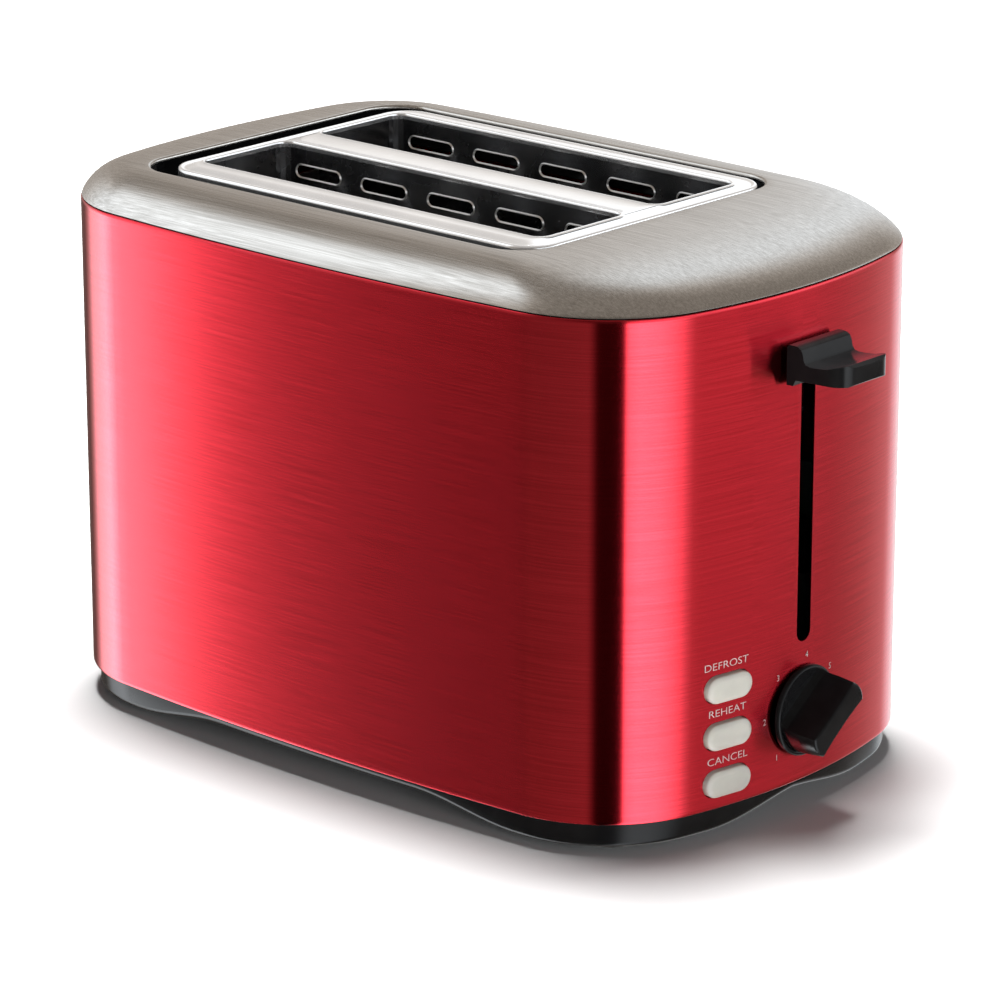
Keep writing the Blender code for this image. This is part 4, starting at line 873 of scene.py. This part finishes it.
skirt_bm = bmesh.new()
foot = skirt_bm.verts.layers.float.new("foot")
rim, _ = trace_body(skirt_bm, skirt_profile[0][2])
bmesh.ops.translate(skirt_bm, verts=skirt_bm.verts, vec=(0, 0, skirt_profile[0][0]))
for vert in skirt_bm.verts:
    along_side = smooth_share((abs(vert.co.x) - CORNER_X) / FOOT_RUN + 1)
    across_end = smooth_share((abs(vert.co.y) - CORNER_Y) / FOOT_RUN + 1)
    vert[foot] = along_side * across_end
for (_, _, inset0), (side_z, foot_z, inset1) in zip(skirt_profile, skirt_profile[1:]):
    rim = extend_rim(skirt_bm, rim, 0.0, inset1 - inset0)
    for vert in {v for e in rim for v in e.verts}:
        vert.co.z = side_z + (foot_z - side_z) * vert[foot]
bmesh.ops.recalc_face_normals(skirt_bm, faces=skirt_bm.faces)
lowest = min(skirt_bm.faces, key=lambda f: f.calc_center_median().z)
if lowest.normal.z > 0:
    bmesh.ops.reverse_faces(skirt_bm, faces=skirt_bm.faces)
skirt = set_piece("base_skirt", skirt_bm, black_moulding, 50.0)
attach(skirt, "casing")


# ---------------------------------------------------------------- lift spring
# A coil of round polished wire stands round the guide rod and lifts the carriage. Its foot stays on
# the base, so it closes up as the lever goes down.
spring_low, spring_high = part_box("lift_spring")
WIRE = 1.1
SPRING_TURNS = 11
SPRING_SIDES = 12
SPRING_STEPS = 30
coil_x = ((spring_low.x + spring_high.x) / 2 - BODY_MIDDLE) / MM
coil_radius = (spring_high.y - spring_low.y) / 2 / MM - WIRE / 2
coil_rise = (spring_high.z - spring_low.z) / MM - WIRE
coil_bm = bmesh.new()
bmesh.ops.create_circle(
    coil_bm, cap_ends=False, segments=SPRING_SIDES, radius=WIRE / 2,
    matrix=Matrix.Translation((coil_x + coil_radius, 0, spring_low.z / MM + WIRE / 2))
    @ Matrix.Rotation(math.pi / 2, 4, "X"),
)
bmesh.ops.spin(
    coil_bm, geom=coil_bm.verts[:] + coil_bm.edges[:], cent=(coil_x, 0, 0), axis=(0, 0, 1),
    dvec=(0, 0, coil_rise / (SPRING_TURNS * SPRING_STEPS)), angle=2 * math.pi * SPRING_TURNS,
    steps=SPRING_TURNS * SPRING_STEPS, use_merge=False, use_duplicate=False,
)
bmesh.ops.holes_fill(coil_bm, edges=[e for e in coil_bm.edges if e.is_boundary], sides=0)
bmesh.ops.recalc_face_normals(coil_bm, faces=coil_bm.faces)
coil = set_piece("lift_coil", coil_bm, polished_steel, 60.0)
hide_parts("lift_spring")
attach(coil, "casing")
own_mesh(coil)


# ---------------------------------------------------------------- browning dial
# The dial is a black moulding pushed on its shaft: a round foot with a dished face and a raised bar
# across it, whose ends follow the foot's circle and whose sides are hollowed for finger and thumb.
dial_low, dial_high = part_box("browning_knob")
DIAL_RADIUS = dial_high.y / MM
DIAL_FRONT = dial_high.x / MM - BODY_MIDDLE / MM
DIAL_BACK = dial_low.x / MM - BODY_MIDDLE / MM
DIAL_POINTER = 36.0
BAR_FOOT = 6.2
foot_profile = (
    (DIAL_RADIUS - 0.5, 0.0), (DIAL_RADIUS, 0.3), (DIAL_RADIUS, 1.1), (DIAL_RADIUS - 0.25, 1.6),
    (DIAL_RADIUS - 0.7, 1.9), (DIAL_RADIUS - 1.2, 1.85), (DIAL_RADIUS - 1.7, 1.5),
    (DIAL_RADIUS - 2.3, 1.25), (DIAL_RADIUS - 6.0, 1.2), (0.0, 1.2),
)
foot_bm = bmesh.new()
ring = [foot_bm.verts.new((DIAL_BACK + x, r, 0)) for r, x in foot_profile]
edges = [foot_bm.edges.new(pair) for pair in zip(ring, ring[1:])]
bmesh.ops.spin(
    foot_bm, geom=ring + edges, cent=(0, 0, 0), axis=(1, 0, 0), angle=2 * math.pi, steps=96,
    use_merge=True, use_duplicate=False,
)
bmesh.ops.remove_doubles(foot_bm, verts=foot_bm.verts, dist=0.005)
bmesh.ops.recalc_face_normals(foot_bm, faces=foot_bm.faces)
bar_bm = bmesh.new()
bmesh.ops.create_circle(
    bar_bm, cap_ends=True, segments=72, radius=1.0, matrix=Matrix.Rotation(math.pi / 2, 4, "Y")
)
for side in (1, -1):
    bmesh.ops.bisect_plane(
        bar_bm, geom=bar_bm.verts[:] + bar_bm.edges[:] + bar_bm.faces[:],
        plane_co=(0, 0, side * BAR_FOOT / DIAL_RADIUS), plane_no=(0, 0, side), clear_outer=True,
    )
flanks = sorted(bar_bm.edges, key=lambda e: -e.calc_length())
bmesh.ops.subdivide_edges(bar_bm, edges=[e for e in flanks if e.calc_length() > 0.3], cuts=15)
bmesh.ops.contextual_create(bar_bm, geom=[e for e in bar_bm.edges if e.is_boundary])
if bar_bm.faces[:][0].normal.x < 0:
    bmesh.ops.reverse_faces(bar_bm, faces=bar_bm.faces[:])
bar_stations = (
    # Height over the foot's back, reach along the bar, half width, and the flanks' hollow.
    (0.9, 12.6, 7.0, 0.0), (1.4, 12.6, 6.7, 0.0), (2.2, 12.65, 6.2, 0.0), (3.6, 12.8, 5.7, 0.1),
    (8.0, 13.0, 5.0, 0.3), (11.8, 12.9, 4.45, 0.55), (13.2, 12.8, 4.2, 0.65),
    (13.6, 12.65, 4.05, 0.65),
    (DIAL_FRONT - DIAL_BACK, 12.25, 3.65, 0.65), (DIAL_FRONT - DIAL_BACK + 0.05, 11.6, 3.2, 0.6),
)
unit = [(v, v.co.y, v.co.z * DIAL_RADIUS / BAR_FOOT) for v in bar_bm.verts]
face = bar_bm.faces[:][0]
for index, (height, reach, half, hollow) in enumerate(bar_stations):
    if index:
        made = bmesh.ops.extrude_face_region(bar_bm, geom=[face])["geom"]
        face = next(g for g in made if isinstance(g, bmesh.types.BMFace))
        fresh = [g for g in made if isinstance(g, bmesh.types.BMVert)]
        unit = [(min(fresh, key=lambda f: (f.co - v.co).length_squared), u, w) for v, u, w in unit]
    for vert, u, w in unit:
        slack = max(0.0, 1.0 - u * u)
        vert.co = Vector((height, u * reach, w * (half - hollow * slack)))
bmesh.ops.translate(bar_bm, verts=bar_bm.verts, vec=(DIAL_BACK, 0, 0))
bmesh.ops.recalc_face_normals(bar_bm, faces=bar_bm.faces)
bar_mesh = bpy.data.meshes.new("dial_bar")
bar_bm.to_mesh(bar_mesh)
bar_bm.free()
foot_bm.from_mesh(bar_mesh)
bpy.data.meshes.remove(bar_mesh)
pointer_turn = Matrix.Rotation(math.radians(DIAL_POINTER), 3, "X")
bmesh.ops.rotate(foot_bm, verts=foot_bm.verts, cent=(0, 0, 0), matrix=pointer_turn)
bmesh.ops.translate(foot_bm, verts=foot_bm.verts, vec=(0, 0, DIAL_Z))
dial = set_piece("dial", foot_bm, black_moulding, 45.0)
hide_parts("browning_knob")
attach(dial, "dial")


# ---------------------------------------------------------------- push buttons
# Three pill-shaped keys of warm grey plastic stand in punched holes. Each has a flat face with a
# wide chamfer round it, and its stem works a small switch behind the band.
BUTTON_PROUD = 2.0
KEY_DEPTH = 3.5
KEY_EDGE = 1.0
key_edge_profile = (
    # How far in from the edge, and how far out along the key, each step of the chamfer goes.
    (0.12, 0.25), (0.28, 0.2), (0.55, 0.28), (0.5, 0.17), (0.25, 0.04), (1.6, -0.12),
)

cream_plastic, tree, shader = new_finish("cream_plastic", Roughness=0.38, Subsurface_Weight=0.05)
cloud = grain(tree, 90.0)
texture = grain(tree, 3000.0, detail=2.0)
colour_by(tree, shader, cloud, ((0.3, (0.60, 0.575, 0.515)), (0.7, (0.66, 0.635, 0.57))))
bump(tree, shader, texture, 0.10, 0.00003)

for name, z in BUTTON_Z.items():
    key_bm = bmesh.new()
    face = stadium(key_bm, BUTTON_LENGTH / 2, BUTTON_HEIGHT / 2, 14)
    bmesh.ops.translate(key_bm, verts=key_bm.verts, vec=(-KEY_DEPTH, 0, 0))
    face = push_out(key_bm, face, KEY_DEPTH + BUTTON_PROUD - KEY_EDGE)
    for inset, rise in key_edge_profile:
        bmesh.ops.inset_region(
            key_bm, faces=[face], thickness=inset, depth=0.0, use_even_offset=True
        )
        bmesh.ops.translate(key_bm, verts=face.verts, vec=(rise, 0, 0))
    bmesh.ops.transform(key_bm, verts=key_bm.verts, matrix=key_place(z))
    bmesh.ops.recalc_face_normals(key_bm, faces=key_bm.faces)
    key = set_piece(name + "_pill", key_bm, cream_plastic, 60.0)
    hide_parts(name + "_button")
    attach(key, name + "_key")


# ---------------------------------------------------------------- printed words and numbers
# The browning numbers and the three plain words are printed on the lacquer in silver-grey ink,
# which stands a hair proud of it and follows the curve of the end.
INK_PROUD = 0.05
INK_HALF_THICKNESS = 0.02
INK_SPREAD = -0.009
NUMBER_RING = 17.2
NUMBER_HEIGHT = 2.8
NUMBER_STEP = 48.0
NUMBER_FOUR = 84.0
NUMBER_DROP = 0.9
LETTER_HEIGHT = 3.3
WORD_STRETCH = 1.25
WORDS = (("DEFROST", -33.1, 54.5), ("REHEAT", -32.5, 39.6), ("CANCEL", -32.2, 24.3))

silver_ink, tree, shader = new_finish("silver_ink", Roughness=0.5)
speckle = grain(tree, 4000.0)
colour_by(tree, shader, speckle, ((0.3, (0.52, 0.42, 0.41)), (0.7, (0.64, 0.55, 0.54))))


def print_text(name, text, size, y, z, stretch=1.0):
    """Printed characters centred on (y, z) of the lever's end, bent onto its curve."""
    curve = bpy.data.curves.new(name, "FONT")
    curve.body = text
    curve.size = size
    curve.align_x = "CENTER"
    curve.extrude = INK_HALF_THICKNESS
    curve.offset = INK_SPREAD * size
    curve.resolution_u = 4
    drawn_text = bpy.data.objects.new(name, curve)
    bpy.context.scene.collection.objects.link(drawn_text)
    bpy.context.view_layer.update()
    graph = bpy.context.evaluated_depsgraph_get()
    flat = bpy.data.meshes.new_from_object(drawn_text.evaluated_get(graph))
    bpy.data.objects.remove(drawn_text, do_unlink=True)
    print_bm = bmesh.new()
    print_bm.from_mesh(flat)
    bpy.data.meshes.remove(flat)
    bmesh.ops.remove_doubles(print_bm, verts=print_bm.verts, dist=0.001)
    for vert in print_bm.verts:
        across, up, proud = vert.co
        place_y = y + across * stretch
        vert.co = (end_surface_x(place_y) + INK_PROUD + proud, place_y, z + up)
    printed = set_piece(name, print_bm, silver_ink)
    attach(printed, "casing")


for number in range(1, 8):
    turn = math.radians(NUMBER_FOUR + (4 - number) * NUMBER_STEP)
    print_text(
        f"number_{number}", str(number), NUMBER_HEIGHT,
        NUMBER_RING * math.cos(turn), DIAL_Z + NUMBER_RING * math.sin(turn) - NUMBER_DROP,
    )
for word, y, z in WORDS:
    print_text("word_" + word.lower(), word, LETTER_HEIGHT, y, z, WORD_STRETCH)


# ---------------------------------------------------------------- carried-over parts
# The frame's own parts keep their shapes and take the finish of the record's slot. The slot liners
# are drawn in a dark steel and the mains switch in black, painted shade for the inside seen through
# the slots, so those three have finishes of their own.
GRAIN_TO_PATTERN = 12


def carried_finish(name, low, high, scale, roughness, metallic, press, stretch=(1.0, 1.0, 1.0)):
    """A finish that runs between two colours over a pattern, with a little of it pressed in."""
    material, tree, shader = new_finish(name, Metallic=metallic)
    pattern = grain(tree, scale, stretch, 4.0)
    colour_by(tree, shader, pattern, ((0.3, low), (0.7, high)))
    roughen_by(tree, shader, pattern, roughness - 0.06, roughness + 0.08)
    bump(tree, shader, grain(tree, scale * GRAIN_TO_PATTERN, stretch, 2.0), press, 0.00004)
    return material


finishes = {
    "black_moulding": black_moulding,
    "polished_steel": polished_steel,
    "cream_plastic": cream_plastic,
    "red_lacquer": lacquered_steel,
    "brushed_steel": brushed_steel,
    "galvanised_sheet": carried_finish(
        "galvanised_sheet", (0.30, 0.31, 0.32), (0.46, 0.47, 0.48), 160.0, 0.42, 0.9, 0.15
    ),
    "rubber": carried_finish(
        "rubber", (0.012, 0.012, 0.012), (0.022, 0.022, 0.022), 240.0, 0.75, 0.0, 0.3
    ),
    "mica": carried_finish("mica", (0.26, 0.19, 0.12), (0.42, 0.33, 0.22), 110.0, 0.5, 0.0, 0.3),
    "heating_wire": carried_finish(
        "heating_wire", (0.16, 0.13, 0.11), (0.26, 0.22, 0.19), 300.0, 0.45, 0.9, 0.2
    ),
    "copper": carried_finish(
        "copper", (0.42, 0.16, 0.07), (0.58, 0.26, 0.13), 200.0, 0.3, 0.9, 0.4, (1.0, 1.0, 8.0)
    ),
    # Painted shade: the board is drawn nearly black so the body seen through the lever's slot reads
    # dark.
    "circuit_board": carried_finish(
        "circuit_board", (0.004, 0.012, 0.008), (0.009, 0.024, 0.015), 260.0, 0.4, 0.0, 0.15
    ),
    "white_plastic": carried_finish(
        "white_plastic", (0.62, 0.62, 0.59), (0.70, 0.70, 0.67), 120.0, 0.45, 0.0, 0.1
    ),
}
# Painted shade: the liners' steel is drawn dark for the shade down in the slots.
painted_shade_liner_steel = carried_finish(
    "painted_shade_liner_steel", (0.15, 0.155, 0.165), (0.30, 0.30, 0.31), 45.0, 0.26, 1.0, 0.1
)
own_finishes = {
    "slot_liner_front": painted_shade_liner_steel,
    "slot_liner_back": painted_shade_liner_steel,
    # Painted shade: the mains switch is drawn black so the body seen through the lever's slot reads
    # dark.
    "mains_switch": black_moulding,
}
for subpart in frame["record"]["subparts"]:
    node = frame["nodes"][subpart["node"]]
    finish = own_finishes.get(subpart["node"], finishes[subpart["material_slot"]])
    node.data.materials.clear()
    node.data.materials.append(finish)
